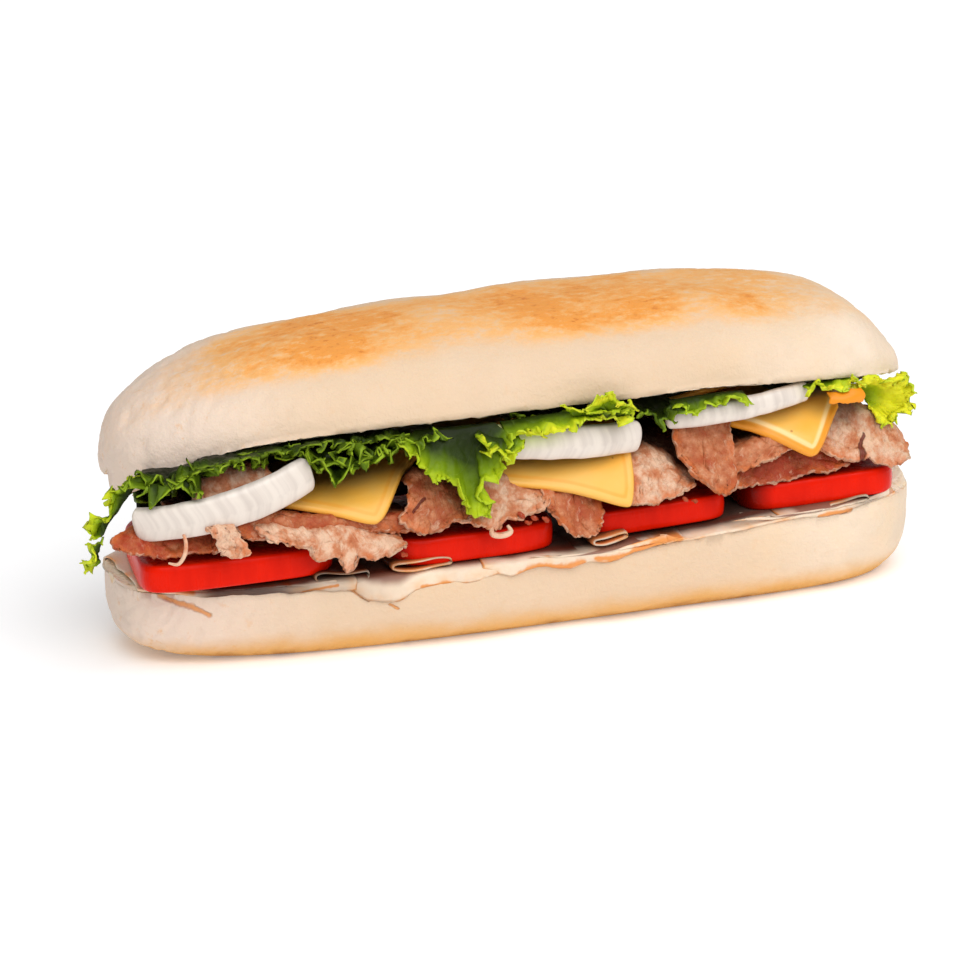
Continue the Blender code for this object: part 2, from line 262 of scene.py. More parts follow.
def field(points, size, seed=0.0):
    """Smooth noise, about -0.5 to 0.5, at each point of a grid; size is its spacing in mm."""
    points = np.asarray(points, float)
    flat = points.reshape(-1, 3) / size + seed
    values = [noise.noise(point) for point in flat]
    return np.array(values).reshape(points.shape[:-1])


def jumble(points, size, seed=0.0, step=1):
    """Smooth noise in all three directions at each point of a grid."""
    return np.stack([field(points, size, seed + step * axis) for axis in range(3)], axis=-1)


def along_grid(points):
    """Lengths run so far along the rows and down the columns of a grid."""
    across = np.zeros(points.shape[:2])
    down = np.zeros(points.shape[:2])
    across[:, 1:] = np.cumsum(np.linalg.norm(np.diff(points, axis=1), axis=2), axis=1)
    down[1:] = np.cumsum(np.linalg.norm(np.diff(points, axis=0), axis=2), axis=0)
    return across, down


def unrolled(points, layer):
    """Place of each grid point on the unrolled slice, in metres."""
    across, down = along_grid(points)
    return np.stack([across * MM, down * MM, np.full_like(across, layer)], axis=-1)


def unit(vectors):
    """The vectors with length 1."""
    length = np.linalg.norm(vectors, axis=-1, keepdims=True)
    return vectors / np.maximum(length, 1e-9)


def grid_normals(points):
    """Which way the grid faces at each of its points."""
    return unit(np.cross(np.gradient(points, axis=1), np.gradient(points, axis=0)))


def border_distance(points):
    """Distance of each grid point from the four sides of the grid: left, right, top, bottom."""
    across, down = along_grid(points)
    return across, across[:, -1:] - across, down, down[-1:] - down


# ---------------------------------------------------------------- meshes


class Shape:
    """Gathers the points, faces and surface values of one piece, then makes its mesh.

    edge is the distance to the nearest free edge in mm, tone is 0 to 1 and means what the piece's
    finish says, and flat is the place on the unrolled slice in metres.
    """

    def __init__(self):
        self.points = []
        self.faces = []
        self.edge = []
        self.tone = []
        self.flat = []
        self.count = 0

    def add(self, points, faces, edge, tone, flat):
        """Adds one closed skin, turned so that it faces outwards."""
        points = np.asarray(points, float).reshape(-1, 3)
        total = len(points)
        corners = np.array([face[:3] for face in faces])
        rest = np.array([(face[0], *face[2:]) for face in faces if len(face) == 4])
        volume = 0.0
        for triangles in (corners, rest):
            a, b, c = (points[triangles[:, i]] for i in range(3))
            volume += np.sum(a * np.cross(b, c))
        if volume < 0:
            faces = [face[::-1] for face in faces]
        self.points.append(points)
        self.faces += [tuple(i + self.count for i in face) for face in faces]
        for kept, values in ((self.edge, edge), (self.tone, tone)):
            kept.append(np.broadcast_to(np.asarray(values, float).ravel(), total))
        self.flat.append(np.asarray(flat, float).reshape(-1, 3))
        self.count += total

    def slab(self, points, thickness, tone=0.0, layer=0.0, root=False):
        """A slice with round rims about a grid of points.

        With root, the first row isn't a free edge, and edge counts only from the last row.
        """
        rows, columns = points.shape[:2]
        left, right, top, bottom = border_distance(points)
        nearest = np.minimum(np.minimum(left, right), np.minimum(top, bottom))
        half = np.broadcast_to(np.asarray(thickness, float) / 2, (rows, columns))
        rise = half * np.sqrt(1 - (1 - np.clip(nearest / half, 0, 1)) ** 2)
        normal = grid_normals(points)
        upper = points + normal * rise[..., None]
        lower = (points - normal * rise[..., None])[1:-1, 1:-1]
        top_index = np.arange(rows * columns).reshape(rows, columns)
        low_index = top_index.copy()
        inner = (rows - 2) * (columns - 2)
        low_index[1:-1, 1:-1] = rows * columns + np.arange(inner).reshape(rows - 2, columns - 2)
        faces = []
        for i in range(rows - 1):
            for j in range(columns - 1):
                quad = ((i, j), (i + 1, j), (i + 1, j + 1), (i, j + 1))
                faces.append([top_index[at] for at in quad])
                faces.append([low_index[at] for at in reversed(quad)])
        edge = bottom if root else nearest
        tone = np.broadcast_to(tone, (rows, columns))
        flat = unrolled(points, layer)

        def both(values):
            return np.concatenate([values.ravel(), values[1:-1, 1:-1].ravel()])

        flats = np.concatenate([flat.reshape(-1, 3), flat[1:-1, 1:-1].reshape(-1, 3)])
        # the under side has a pattern of its own
        flats[rows * columns :, 2] += 0.5
        points = np.concatenate([upper.reshape(-1, 3), lower.reshape(-1, 3)])
        self.add(points, faces, both(edge), both(tone), flats)

    def tube(self, rings, tone=0.0, edge=0.0, layer=0.0, flat=None):
        """A closed skin over rings of points; its two end rings are filled with a fan."""
        count, around = rings.shape[:2]
        ends = np.stack([rings[0].mean(axis=0), rings[-1].mean(axis=0)])
        faces = []
        for i in range(count - 1):
            for j in range(around):
                k = (j + 1) % around
                faces.append([i * around + j, (i + 1) * around + j, (i + 1) * around + k, i * around + k])
        last = (count - 1) * around
        for j in range(around):
            k = (j + 1) % around
            faces.append([count * around, j, k])
            faces.append([count * around + 1, last + k, last + j])
        if flat is None:
            flat = unrolled(rings, layer)
        flats = np.concatenate([flat.reshape(-1, 3), flat[0, :1], flat[-1, :1]])

        def with_ends(values):
            values = np.broadcast_to(values, (count, around))
            return np.concatenate([values.ravel(), [values[0, 0], values[-1, 0]]])

        points = np.concatenate([rings.reshape(-1, 3), ends])
        self.add(points, faces, with_ends(edge), with_ends(tone), flats)

    def piece(self, node, slot, material):
        """Makes the object that stands for a node of the frame."""
        mesh = bpy.data.meshes.new(f"{node}.look")
        points = np.concatenate(self.points) * MM + ORIGIN
        mesh.from_pydata(points.tolist(), [], self.faces)
        for name, values in (("edge", self.edge), ("tone", self.tone)):
            attribute = mesh.attributes.new(name, "FLOAT", "POINT")
            attribute.data.foreach_set("value", np.concatenate(values).astype(np.float32))
        attribute = mesh.attributes.new("flat", "FLOAT_VECTOR", "POINT")
        attribute.data.foreach_set("vector", np.concatenate(self.flat).astype(np.float32).ravel())
        mesh.materials.append(material)
        mesh.shade_smooth()
        mesh.update()
        piece = bpy.data.objects.new(f"{node}.look", mesh)
        bpy.context.scene.collection.objects.link(piece)
        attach(piece, "root")
        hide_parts(node)
        return piece


# ---------------------------------------------------------------- finishes


# places of the colour sockets on a Mix node, whose float and vector sockets have the same names
MIX_COLOUR_A = 6
MIX_COLOUR_B = 7
MIX_COLOUR_RESULT = 2


class Finish:
    """A node-based material, or a shader node group, under construction."""

    def __init__(self, tree):
        self.tree = tree

    def node(self, kind, **settings):
        """Adds a node with some of its settings."""
        node = self.tree.nodes.new(kind)
        for name, value in settings.items():
            setattr(node, name, value)
        return node

    def put(self, socket, value):
        """Links an output to a socket, or sets the socket's own value."""
        if isinstance(value, bpy.types.NodeSocket):
            self.tree.links.new(value, socket)
        elif hasattr(socket.default_value, "__len__") and len(socket.default_value) == 4:
            socket.default_value = (*value[:3], 1)
        else:
            socket.default_value = value

    def place(self):
        """Place on the object, in metres."""
        return self.node("ShaderNodeTexCoord").outputs["Object"]

    def value(self, name):
        """One of the surface values that Shape keeps."""
        node = self.node("ShaderNodeAttribute", attribute_name=name)
        return node.outputs["Vector" if name == "flat" else "Fac"]

    def stretch(self, vector, scale):
        """The vector scaled along its three axes."""
        node = self.node("ShaderNodeMapping")
        self.put(node.inputs["Vector"], vector)
        node.inputs["Scale"].default_value = scale
        return node.outputs["Vector"]

    def noise(self, vector, size, detail=3.0, roughness=0.55, distortion=0.0):
        """Noise whose features are about size metres apart."""
        node = self.node("ShaderNodeTexNoise")
        self.put(node.inputs["Vector"], vector)
        node.inputs["Scale"].default_value = 1 / size
        node.inputs["Detail"].default_value = detail
        node.inputs["Roughness"].default_value = roughness
        node.inputs["Distortion"].default_value = distortion
        return node.outputs["Fac"]

    def cells(self, vector, size):
        """Distance to the nearest of many points that are about size metres apart."""
        node = self.node("ShaderNodeTexVoronoi")
        self.put(node.inputs["Vector"], vector)
        node.inputs["Scale"].default_value = 1 / size
        return node.outputs["Distance"]

    def math(self, operation, a, b):
        """One operation on two numbers."""
        node = self.node("ShaderNodeMath", operation=operation)
        self.put(node.inputs[0], a)
        self.put(node.inputs[1], b)
        return node.outputs[0]

    def times(self, *values):
        """The product of the values."""
        result = values[0]
        for value in values[1:]:
            result = self.math("MULTIPLY", result, value)
        return result

    def step(self, value, low, high, first=0.0, last=1.0):
        """Eases from first to last while value goes from low to high."""
        node = self.node("ShaderNodeMapRange", interpolation_type="SMOOTHSTEP")
        self.put(node.inputs["Value"], value)
        node.inputs["From Min"].default_value = min(low, high)
        node.inputs["From Max"].default_value = max(low, high)
        node.inputs["To Min"].default_value = first if low < high else last
        node.inputs["To Max"].default_value = last if low < high else first
        return node.outputs["Result"]

    def ramp(self, value, *stops):
        """A colour or grey that changes along value; each stop is (place, colour)."""
        node = self.node("ShaderNodeValToRGB")
        self.put(node.inputs["Fac"], value)
        elements = node.color_ramp.elements
        while len(elements) < len(stops):
            elements.new(0.5)
        for element, (at, colour) in zip(elements, stops):
            element.position = at
            element.color = (*colour[:3], 1) if hasattr(colour, "__len__") else (colour, colour, colour, 1)
        return node.outputs["Color"]

    def mix(self, amount, a, b):
        """From colour a to colour b."""
        node = self.node("ShaderNodeMix", data_type="RGBA")
        self.put(node.inputs["Factor"], amount)
        self.put(node.inputs[MIX_COLOUR_A], a)
        self.put(node.inputs[MIX_COLOUR_B], b)
        return node.outputs[MIX_COLOUR_RESULT]

    def over(self, base, colour, *masks):
        """Lays a colour over base, as strongly as the product of the masks."""
        return self.mix(self.times(*masks), base, colour)

    def patches(self, vector, size, detail, low, high, *ends):
        """Soft-edged patches of noise: 0 below low, 1 above high, or from one end to the other."""
        return self.step(self.noise(vector, size, detail), low, high, *ends)

    def split(self, vector):
        """The vector's three parts."""
        node = self.node("ShaderNodeSeparateXYZ")
        self.put(node.inputs[0], vector)
        return node.outputs

    def bump(self, height, distance, strength):
        """A normal roughened by a height; distance is in metres."""
        node = self.node("ShaderNodeBump")
        node.inputs["Strength"].default_value = strength
        node.inputs["Distance"].default_value = distance
        self.put(node.inputs["Height"], height)
        return node.outputs["Normal"]

    def group(self, name, **values):
        """Places a shader node group and sets its inputs."""
        node = self.node("ShaderNodeGroup")
        node.node_tree = bpy.data.node_groups[name]
        for key, value in values.items():
            self.put(node.inputs[key.replace("_", " ").capitalize()], value)
        return node.outputs


def new_finish(name, roughness, specular, subsurface=0.0, depth=0.001, scatter=(1, 0.5, 0.3)):
    """A material with its Principled shader's plain values set, and the Finish that builds it."""
    material = bpy.data.materials.new(name)
    material.use_nodes = True
    shader = material.node_tree.nodes["Principled BSDF"]
    values = {
        "Roughness": roughness,
        "Specular IOR Level": specular,
        "Subsurface Weight": subsurface,
        "Subsurface Scale": depth,
        "Subsurface Radius": scatter,
    }
    for socket, value in values.items():
        shader.inputs[socket].default_value = value
    return material, Finish(material.node_tree), shader.inputs


def new_group(name, places, numbers):
    """A shader node group that makes a mask from places and numbers, and the Finish that builds it."""
    tree = bpy.data.node_groups.new(name, "ShaderNodeTree")
    for title in places:
        tree.interface.new_socket(title, in_out="INPUT", socket_type="NodeSocketVector")
    for title, default in numbers.items():
        socket = tree.interface.new_socket(title, in_out="INPUT", socket_type="NodeSocketFloat")
        socket.default_value = default
    tree.interface.new_socket("Mask", in_out="OUTPUT", socket_type="NodeSocketFloat")
    finish = Finish(tree)
    return finish, finish.node("NodeGroupInput").outputs, finish.node("NodeGroupOutput").inputs["Mask"]


def make_shade_line_group():
    """Mask of a thin uneven line between two places, used for painted shade lines: 1 on it, 0 beside it."""
    finish, given, mask = new_group("Shade line", ("Place", "Start", "End"), {"Width": 0.0005, "Wander": 0.001})

    def vector_math(operation, a, b):
        node = finish.node("ShaderNodeVectorMath", operation=operation)
        finish.put(node.inputs[0], a)
        finish.put(node.inputs[1], b)
        return node.outputs["Value" if operation in ("DOT_PRODUCT", "LENGTH") else "Vector"]

    def scaled(vector, scale):
        node = finish.node("ShaderNodeVectorMath", operation="SCALE")
        finish.put(node.inputs[0], vector)
        finish.put(node.inputs["Scale"], scale)
        return node.outputs["Vector"]

    jitter = finish.node("ShaderNodeTexNoise")
    finish.put(jitter.inputs["Vector"], given["Place"])
    jitter.inputs["Scale"].default_value = 180
    sway = vector_math("SUBTRACT", jitter.outputs["Color"], (0.5, 0.5, 0.5))
    place = vector_math("ADD", given["Place"], scaled(sway, given["Wander"]))
    span = vector_math("SUBTRACT", given["End"], given["Start"])
    offset = vector_math("SUBTRACT", place, given["Start"])
    length2 = vector_math("DOT_PRODUCT", span, span)
    share = finish.math("DIVIDE", vector_math("DOT_PRODUCT", offset, span), length2)
    inside = finish.math("MINIMUM", finish.math("MAXIMUM", share, 0.0), 1.0)
    away = vector_math("LENGTH", vector_math("SUBTRACT", offset, scaled(span, inside)), (0, 0, 0))
    uneven = finish.step(finish.noise(given["Place"], 0.0035, 2), 0.3, 0.7, 0.45, 1.0)
    width = finish.math("MULTIPLY", given["Width"], uneven)
    near = finish.math("SUBTRACT", 1.0, finish.math("DIVIDE", away, width))
    finish.put(mask, finish.math("MAXIMUM", near, 0.0))


def make_mottle_group():
    """Uneven patches: a broad noise broken up by a fine one, as a mask."""
    finish, given, mask = new_group("Mottle", ("Place",), {"Broad": 100.0, "Fine": 500.0, "Cover": 0.5})

    def octave(scale, detail):
        node = finish.node("ShaderNodeTexNoise")
        finish.put(node.inputs["Vector"], given["Place"])
        finish.put(node.inputs["Scale"], given[scale])
        node.inputs["Detail"].default_value = detail
        return node.outputs["Fac"]

    both = finish.math("ADD", finish.times(octave("Broad", 3), 0.62), finish.times(octave("Fine", 4), 0.38))
    above = finish.math("SUBTRACT", both, finish.math("SUBTRACT", 1.0, given["Cover"]))
    finish.put(mask, finish.step(above, -0.09, 0.09))


def make_deep_shade_group():
    """Mask for painted shade deep between the other pieces: 1 inside the sandwich, 0 where it shows."""
    finish, given, mask = new_group("Deep shade", ("Place",), {"Outer": 0.035, "Inner": 0.029})
    x, y, _ = finish.split(given["Place"])
    aside = finish.math("MAXIMUM", x, finish.times(x, -1.0))
    out_of_middle = finish.math("MAXIMUM", finish.times(y, 1.6), finish.times(y, -1.0))
    deep = finish.math("SUBTRACT", given["Outer"], out_of_middle)
    share = finish.math("DIVIDE", deep, finish.math("SUBTRACT", given["Outer"], given["Inner"]))
    finish.put(mask, finish.times(finish.step(aside, 0.112, 0.1), finish.step(share, 0.0, 1.0)))


def linear(red, green, blue):
    """A screen colour, 0 to 255, as Blender's linear colour."""
    return tuple(((c / 255 + 0.055) / 1.055) ** 2.4 if c > 10 else c / 3294 for c in (red, green, blue))


def colour(name, description, red, green, blue):
    """A colour setting with its default given as a screen colour."""
    return FloatVectorProperty(
        name=name, description=description, subtype="COLOR", size=3, min=0, max=1,
        default=linear(red, green, blue),
    )


def length(name, description, default):
    """A length setting in metres."""
    return FloatProperty(name=name, description=description, default=default, min=0, unit="LENGTH")


# ---------------------------------------------------------------- settings


class SandwichBreadSettings(bpy.types.PropertyGroup):
    crumb: colour("Crumb", "Pale skin of the roll", 228, 207, 183)
    floured: colour("Floured", "Palest, flour-dusted skin", 236, 217, 196)
    golden: colour("Golden", "Lightly toasted skin", 240, 182, 116)
    toasted: colour("Toasted", "Well toasted skin", 238, 158, 74)
    charred: colour("Charred", "Darkest flecks of the toast", 190, 96, 36)
    underside: colour("Underside", "Golden rim round the base", 224, 172, 100)
    wrinkle: length("Wrinkle depth", "Depth of the fine skin wrinkles", 0.0003)
    lump: length("Lump height", "Height of the slow unevenness of the crust", 0.0007)


class SandwichTurkeySettings(bpy.types.PropertyGroup):
    flesh: colour("Flesh", "Pale sliced turkey", 228, 205, 180)
    warm: colour("Warm", "Golden tint towards the rim", 236, 176, 112)
    rim: colour("Rim", "Browned rim of a slice", 226, 140, 58)
    thickness: length("Thickness", "Thickness of a turkey slice", 0.0006)


class SandwichTomatoSettings(bpy.types.PropertyGroup):
    skin: colour("Skin", "Tomato skin", 226, 28, 2)
    flesh: colour("Flesh", "Wet cut flesh", 196, 36, 10)
    thickness: length("Thickness", "Thickness of a tomato slice", 0.0078)


class SandwichPorkSettings(bpy.types.PropertyGroup):
    muscle: colour("Muscle", "Pale roast muscle", 224, 184, 154)
    roasted: colour("Roasted", "Roasted muscle", 178, 96, 56)
    dark: colour("Dark", "Darkest roasted muscle", 166, 58, 26)
    crust: colour("Crust", "Orange-brown roasted edge", 206, 104, 44)
    fat: colour("Fat", "Whitish fat and torn rims", 234, 200, 170)
    thickness: length("Thickness", "Thickness of a pork slice where it shows", 0.0014)
    crumple: length("Crumple", "Height of the folds in a slice", 0.0008)


class SandwichCheeseSettings(bpy.types.PropertyGroup):
    body: colour("Body", "Yellow cheese", 246, 182, 72)
    rim: colour("Rim", "Lighter rim of a slice", 244, 196, 106)
    shade: colour("Shade", "Deeper orange folds", 236, 144, 20)
    thickness: length("Thickness", "Thickness of a cheese slice", 0.0024)
    side: length("Side", "Side of the square slice", 0.05)


class SandwichOnionSettings(bpy.types.PropertyGroup):
    flesh: colour("Flesh", "White onion flesh", 228, 217, 206)
    vein: colour("Vein", "Greyer lines across a layer", 208, 196, 186)
    green: colour("Green", "Greenish translucent end", 208, 214, 150)
    wall: length("Wall", "Thickness of an onion layer", 0.0042)


class SandwichLettuceSettings(bpy.types.PropertyGroup):
    # painted shade: the darkest green stands for the shade under the crown
    deep: colour("Deep", "Darkest green, under the crown", 18, 24, 3)
    blade: colour("Blade", "Green of the blade", 88, 112, 10)
    frill: colour("Frill", "Bright curled margin", 172, 192, 24)
    lime: colour("Lime", "Brightest, yellowish leaf", 228, 226, 44)
    vein: colour("Vein", "Pale vein", 160, 192, 90)
    thickness: length("Thickness", "Thickness of a leaf", 0.0005)
    curl: FloatProperty(name="Curl", description="How strongly the margins curl", default=1.0, min=0, max=2)


class SandwichStageSettings(bpy.types.PropertyGroup):
    azimuth: FloatProperty(
        name="Azimuth", description="Turn of the camera from the served side", subtype="ANGLE",
        default=radians(-20),
    )
    elevation: FloatProperty(
        name="Elevation", description="Height of the camera above level", subtype="ANGLE",
        default=radians(15),
    )
    roll: FloatProperty(
        name="Roll", description="Tilt of the camera about its view", subtype="ANGLE",
        default=radians(1.5),
    )
    distance: length("Distance", "Distance of the camera", 1.3)
    aim: length("Aim height", "Height of the point that the camera turns about", 0.046)
    lens: FloatProperty(name="Lens", description="Focal length", unit="CAMERA", default=162.2)
    shift: FloatVectorProperty(
        name="Shift", description="Shift of the picture to the sides and up", size=2,
        default=(-0.026, -0.027),
    )
    key: FloatProperty(name="Key", description="Strength of the soft key light", default=2.35, min=0)
    ambient: FloatProperty(
        name="Ambient", description="Strength of the light from all round", default=0.42, min=0,
    )
    paper: colour("Paper", "Plain floor and backdrop", 252, 252, 252)


# ---------------------------------------------------------------- bread

# painted shade lines on the served side of the heel under the turkey's hems, on the turkey over it and on
# the pork: width in mm, points (x, z)
SHADE_LINES = {
    1: (1.5, ((-115.2, 22.9), (-111, 21), (-107, 19.6), (-102.6, 17.1))),
    2: (1.8, ((-119, 25.4), (-114, 25.2), (-107.3, 24.5))),
    3: (0.9, ((-62, 21.6), (-56.5, 17.6))),
    4: (1.6, ((-90.6, 25.9), (-80, 25.4))),
    5: (1.4, ((-40.5, 20), (-32.2, 20.1), (-22.3, 18.2))),
    6: (2.2, ((-10.4, 20.6), (-4.7, 22), (3.1, 20.8), (9.2, 21.6))),
    7: (2.1, ((13.3, 22.3), (18.7, 21.3), (25.4, 22.9))),
    8: (2.4, ((25.4, 22.9), (34.7, 25), (40.1, 25))),
    9: (1.4, ((86, 26), (97, 26.3))),
    10: (0.8, ((-50, 15.4), (-47.4, 13.8))),
    11: (0.9, ((-76, 22.4), (-66, 23.4))),
    12: (1.5, ((102.4, 48.4), (100.6, 45.8), (101, 43.4), (99.8, 40))),
    13: (0.8, ((-43.3, 43.4), (-41.1, 45.6), (-39.2, 46.6))),
}


def shade_lines(finish, place, numbers):
    """Mask of some of the painted shade lines, on the served side only."""
    x, y, z = finish.split(place)
    node = finish.node("ShaderNodeCombineXYZ")
    finish.put(node.inputs[0], x)
    finish.put(node.inputs[2], z)
    marks = None
    for width, points in (SHADE_LINES[number] for number in numbers):
        points = [(ORIGIN[0] + px * MM, 0, ORIGIN[2] + pz * MM) for px, pz in points]
        for start, end in zip(points, points[1:]):
            crease = finish.group("Shade line", place=node.outputs[0], start=start, end=end, width=width * MM)
            marks = crease["Mask"] if marks is None else finish.math("MAXIMUM", marks, crease["Mask"])
    return finish.times(finish.step(marks, 0.0, 0.75), finish.step(y, ORIGIN[1] - 0.012, ORIGIN[1] - 0.018))


def bread_rings(section):
    """Rings of points along a bread half, and the ring's place and turn at each point."""
    rings, around = BREAD_RINGS
    middle = np.linspace(-1, 1, rings + 2)[1:-1]
    stations = signed_power(np.sin(middle * pi / 2), 0.8)
    angles = circle(around)
    points = np.array([[section(s, cos(a), sin(a)) for a in angles] for s in stations])
    turns = np.array([[(s, cos(a), sin(a)) for a in angles] for s in stations])
    return points, turns


def crown_section(along, side, up):
    """The crown: a dome above an arched, slightly hollow cut face with a torn edge."""
    x = along * (CROWN_LEFT[0] if along < 0 else CROWN_RIGHT[0])
    width = blunt(x, CROWN_LEFT, CROWN_RIGHT)
    brow = blunt(x, CROWN_LEFT_BROW, CROWN_RIGHT_BROW)
    across = signed_power(side, 2 / DOME_POWER)
    y = across * width * CROWN_HALF_WIDTH
    cut = crown_cut(x) - SERVED_LAP * smoothstep(90, 112, -x) * smoothstep(0.5, 0.95, -across)
    if up <= 0:
        hollow = CUT_HOLLOW * width * (1 - across**2)
        lip = CUT_LIP * smoothstep(0.93, 1, abs(across))
        torn = TORN * noise.noise((x / 2.2, y / 2.2, 1.7)) * smoothstep(0.8, 0.95, abs(across))
        return (x, y, cut + hollow + lip + torn)
    top = crown_arch(x) + CROWN_HEIGHT * brow
    share = up ** (2 / DOME_POWER)
    return (x, y, cut + CUT_LIP + (top - cut - CUT_LIP) * share)


def heel_section(along, side, up):
    """The heel: a flat base, round lower edges and a nearly level cut face."""
    x = along * (HEEL_LEFT[0] if along < 0 else HEEL_RIGHT[0])
    y = signed_power(side, 2 / HEEL_POWER) * blunt(x, HEEL_LEFT, HEEL_RIGHT) * HEEL_HALF_WIDTH
    belly = blunt(x, HEEL_LEFT_BELLY, HEEL_RIGHT_BELLY)
    depth = HEEL_FLATNESS * max(0.0, -up) ** (2 / HEEL_POWER) * belly
    lip = HEEL_LIP + HEEL_LIP_RIGHT * fuller_side(x)
    if up > 0:
        lip *= smoothstep(0.72, 1, abs(side))
    return (x, y, heel_cut(x) * max(0.0, 1 - depth) - lip * max(0.0, 1 - depth))


def ring_normals(rings):
    """Which way a closed skin over rings faces, outwards."""
    around = np.roll(rings, -1, axis=1) - np.roll(rings, 1, axis=1)
    return unit(np.cross(around, np.gradient(rings, axis=0)))


def roughen_bread(rings, skin, settings):
    """Moves the skin in and out: slow lumps, small dimples and the wrinkles of the left end."""
    outward = ring_normals(rings)
    lump = settings.lump / MM * 2 * field(rings, 26) + 0.24 * field(rings, 9, 4.2)
    dimple = 0.13 * field(rings, 2.6, 7.7) + 0.1 * field(rings, 1.3, 2.1)
    left = smoothstep(50, 104, -rings[..., 0])
    slanted = rings @ np.array(((0.84, 0, 0.1), (0, 0.3, 0), (-0.54, 0, 0.16)))
    wrinkle = settings.wrinkle / MM * 3.4 * (0.25 + 0.75 * left) * np.minimum(0, field(slanted, 1.7, 9.1))
    return rings + outward * (skin * (lump + dimple + wrinkle))[..., None]


def make_toast(finish, place, along, side, up):
    """How brown the top is: a band over the served half of the dome, in patches along the roll."""
    band = finish.times(
        finish.step(side, -0.93, -0.52), finish.step(side, 0.55, -0.05), finish.step(up, 0.3, 0.72),
    )
    patches = finish.ramp(
        finish.step(along, -1, 1),
        (0.0, 0.15), (0.05, 0.5), (0.13, 1.0), (0.22, 1.0), (0.32, 0.62), (0.44, 0.58),
        (0.54, 1.0), (0.68, 0.9), (0.8, 0.66), (0.89, 0.8), (0.95, 0.45), (1.0, 0.15),
    )
    broad = finish.step(finish.noise(place, 0.02, 3, 0.5), 0.28, 0.7, 0.58, 1.05)
    fine = finish.noise(finish.stretch(place, (0.6, 1, 1)), 0.0026, 4, 0.7)
    return finish.times(band, patches, broad), fine


def make_crust(settings):
    """Pale skin, toasted along the top, golden round the base, with open crumb on the cut faces."""
    material, finish, shader = new_finish(
        "Soft roll crust", roughness=0.72, specular=0.2, subsurface=0.06, depth=0.003,
        scatter=(1.0, 0.5, 0.25),
    )
    place = finish.place()
    along, side, up = finish.split(finish.value("flat"))
    x, y, z = finish.split(place)
    cut = finish.value("tone")
    flour = finish.noise(place, 0.012, 4)
    fine = finish.noise(place, 0.0016, 3, 0.6)
    pale = finish.mix(finish.step(flour, 0.35, 0.7), settings.crumb, settings.floured)
    warmth = finish.times(finish.patches(place, 0.024, 4, 0.42, 0.7), 0.5)
    pale = finish.mix(warmth, pale, linear(232, 200, 160))
    # painted shade: darker over the left and middle, so that the right end stays lighter as if lit more
    pale = finish.mix(finish.times(finish.step(along, 0.85, 0.3), 0.7), pale, linear(218, 188, 156))
    # painted shade, cool and greyish, on the left end
    pale = finish.mix(finish.times(finish.step(along, -0.5, -0.95), 0.7), pale, linear(230, 212, 200))
    toast, speckle = make_toast(finish, place, along, side, up)
    grainy = finish.times(toast, finish.step(speckle, 0.25, 0.62, 0.45, 1.15))
    baked = finish.mix(finish.step(grainy, 0.02, 0.5), pale, settings.golden)
    baked = finish.mix(finish.step(grainy, 0.36, 0.8), baked, settings.toasted)
    char = finish.times(finish.step(grainy, 0.55, 0.95), finish.step(speckle, 0.55, 0.7))
    baked = finish.over(baked, settings.charred, char, 0.6)
    # golden freckles over the skin, most at the left end
    left = finish.step(along, -0.6, -0.9, 0.25, 0.8)
    freckle = finish.times(finish.step(finish.noise(place, 0.0042, 5, 0.7), 0.58, 0.7), left)
    baked = finish.over(baked, linear(222, 168, 108), freckle, 0.6)
    # golden base with darker spots
    base = finish.step(finish.math("ADD", z, finish.times(flour, 0.006)), 0.0135, 0.0045)
    based = finish.mix(base, baked, settings.underside)
    spots = finish.group("Mottle", place=place, broad=60.0, fine=260.0, cover=0.46)["Mask"]
    based = finish.over(based, linear(176, 118, 58), finish.step(z, 0.0036, 0.0006), spots, 0.8)
    # painted shade lines on the heel, under the turkey's hems
    marks = shade_lines(finish, place, (1, 3, 9, 10))
    based = finish.over(based, linear(216, 140, 72), marks, 0.85)
    torn = finish.times(finish.step(cut, 0.03, 0.3), finish.patches(place, 0.012, 3, 0.45, 0.6))
    based = finish.over(based, linear(226, 164, 72), torn, 0.7)
    open_crumb = finish.step(finish.cells(place, 0.0022), 0.1, 0.5)
    crumb = finish.mix(open_crumb, linear(226, 204, 172), linear(244, 228, 204))
    finish.put(shader["Base Color"], finish.mix(cut, based, crumb))
    finish.put(shader["Roughness"], finish.step(grainy, 0.1, 0.8, 0.78, 0.56))
    pores = finish.times(cut, finish.step(finish.cells(place, 0.0017), 0.0, 0.45, -1.0, 0.0))
    skin = finish.math("ADD", finish.times(fine, 0.5), finish.times(finish.noise(place, 0.0006, 2), 0.3))
    height = finish.math("ADD", skin, pores)
    height = finish.math("ADD", height, finish.times(finish.noise(place, 0.0032, 3), 0.5))
    height = finish.math("SUBTRACT", height, finish.times(marks, 1.5))
    finish.put(shader["Normal"], finish.bump(height, 0.0005, 0.75))
    return material


class SANDWICH_OT_bread(bpy.types.Operator):
    """Make the two halves of the roll"""

    bl_idname = "sandwich.bread"
    bl_label = "Bread"

    def execute(self, context):
        settings = context.scene.sandwich_bread
        material = make_crust(settings)
        for node, section, cut_side in (("crown", crown_section, -1), ("heel", heel_section, 1)):
            rings, turns = bread_rings(section)
            outward = ring_normals(rings)
            on_cut = smoothstep(0.55, 0.85, cut_side * outward[..., 2]) * (cut_side * turns[..., 2] > 0)
            on_base = smoothstep(2.5, 0.6, rings[..., 2])
            skin = (1 - 0.7 * on_cut) * (1 - on_base)
            rings = roughen_bread(rings, skin, settings)
            if node == "heel":
                # the heel has no top to toast
                turns = turns * (1, 1, 0)
            shape = Shape()
            shape.tube(rings, tone=on_cut, flat=turns)
            shape.piece(node, "crust", material)
        return {"FINISHED"}


# ---------------------------------------------------------------- turkey

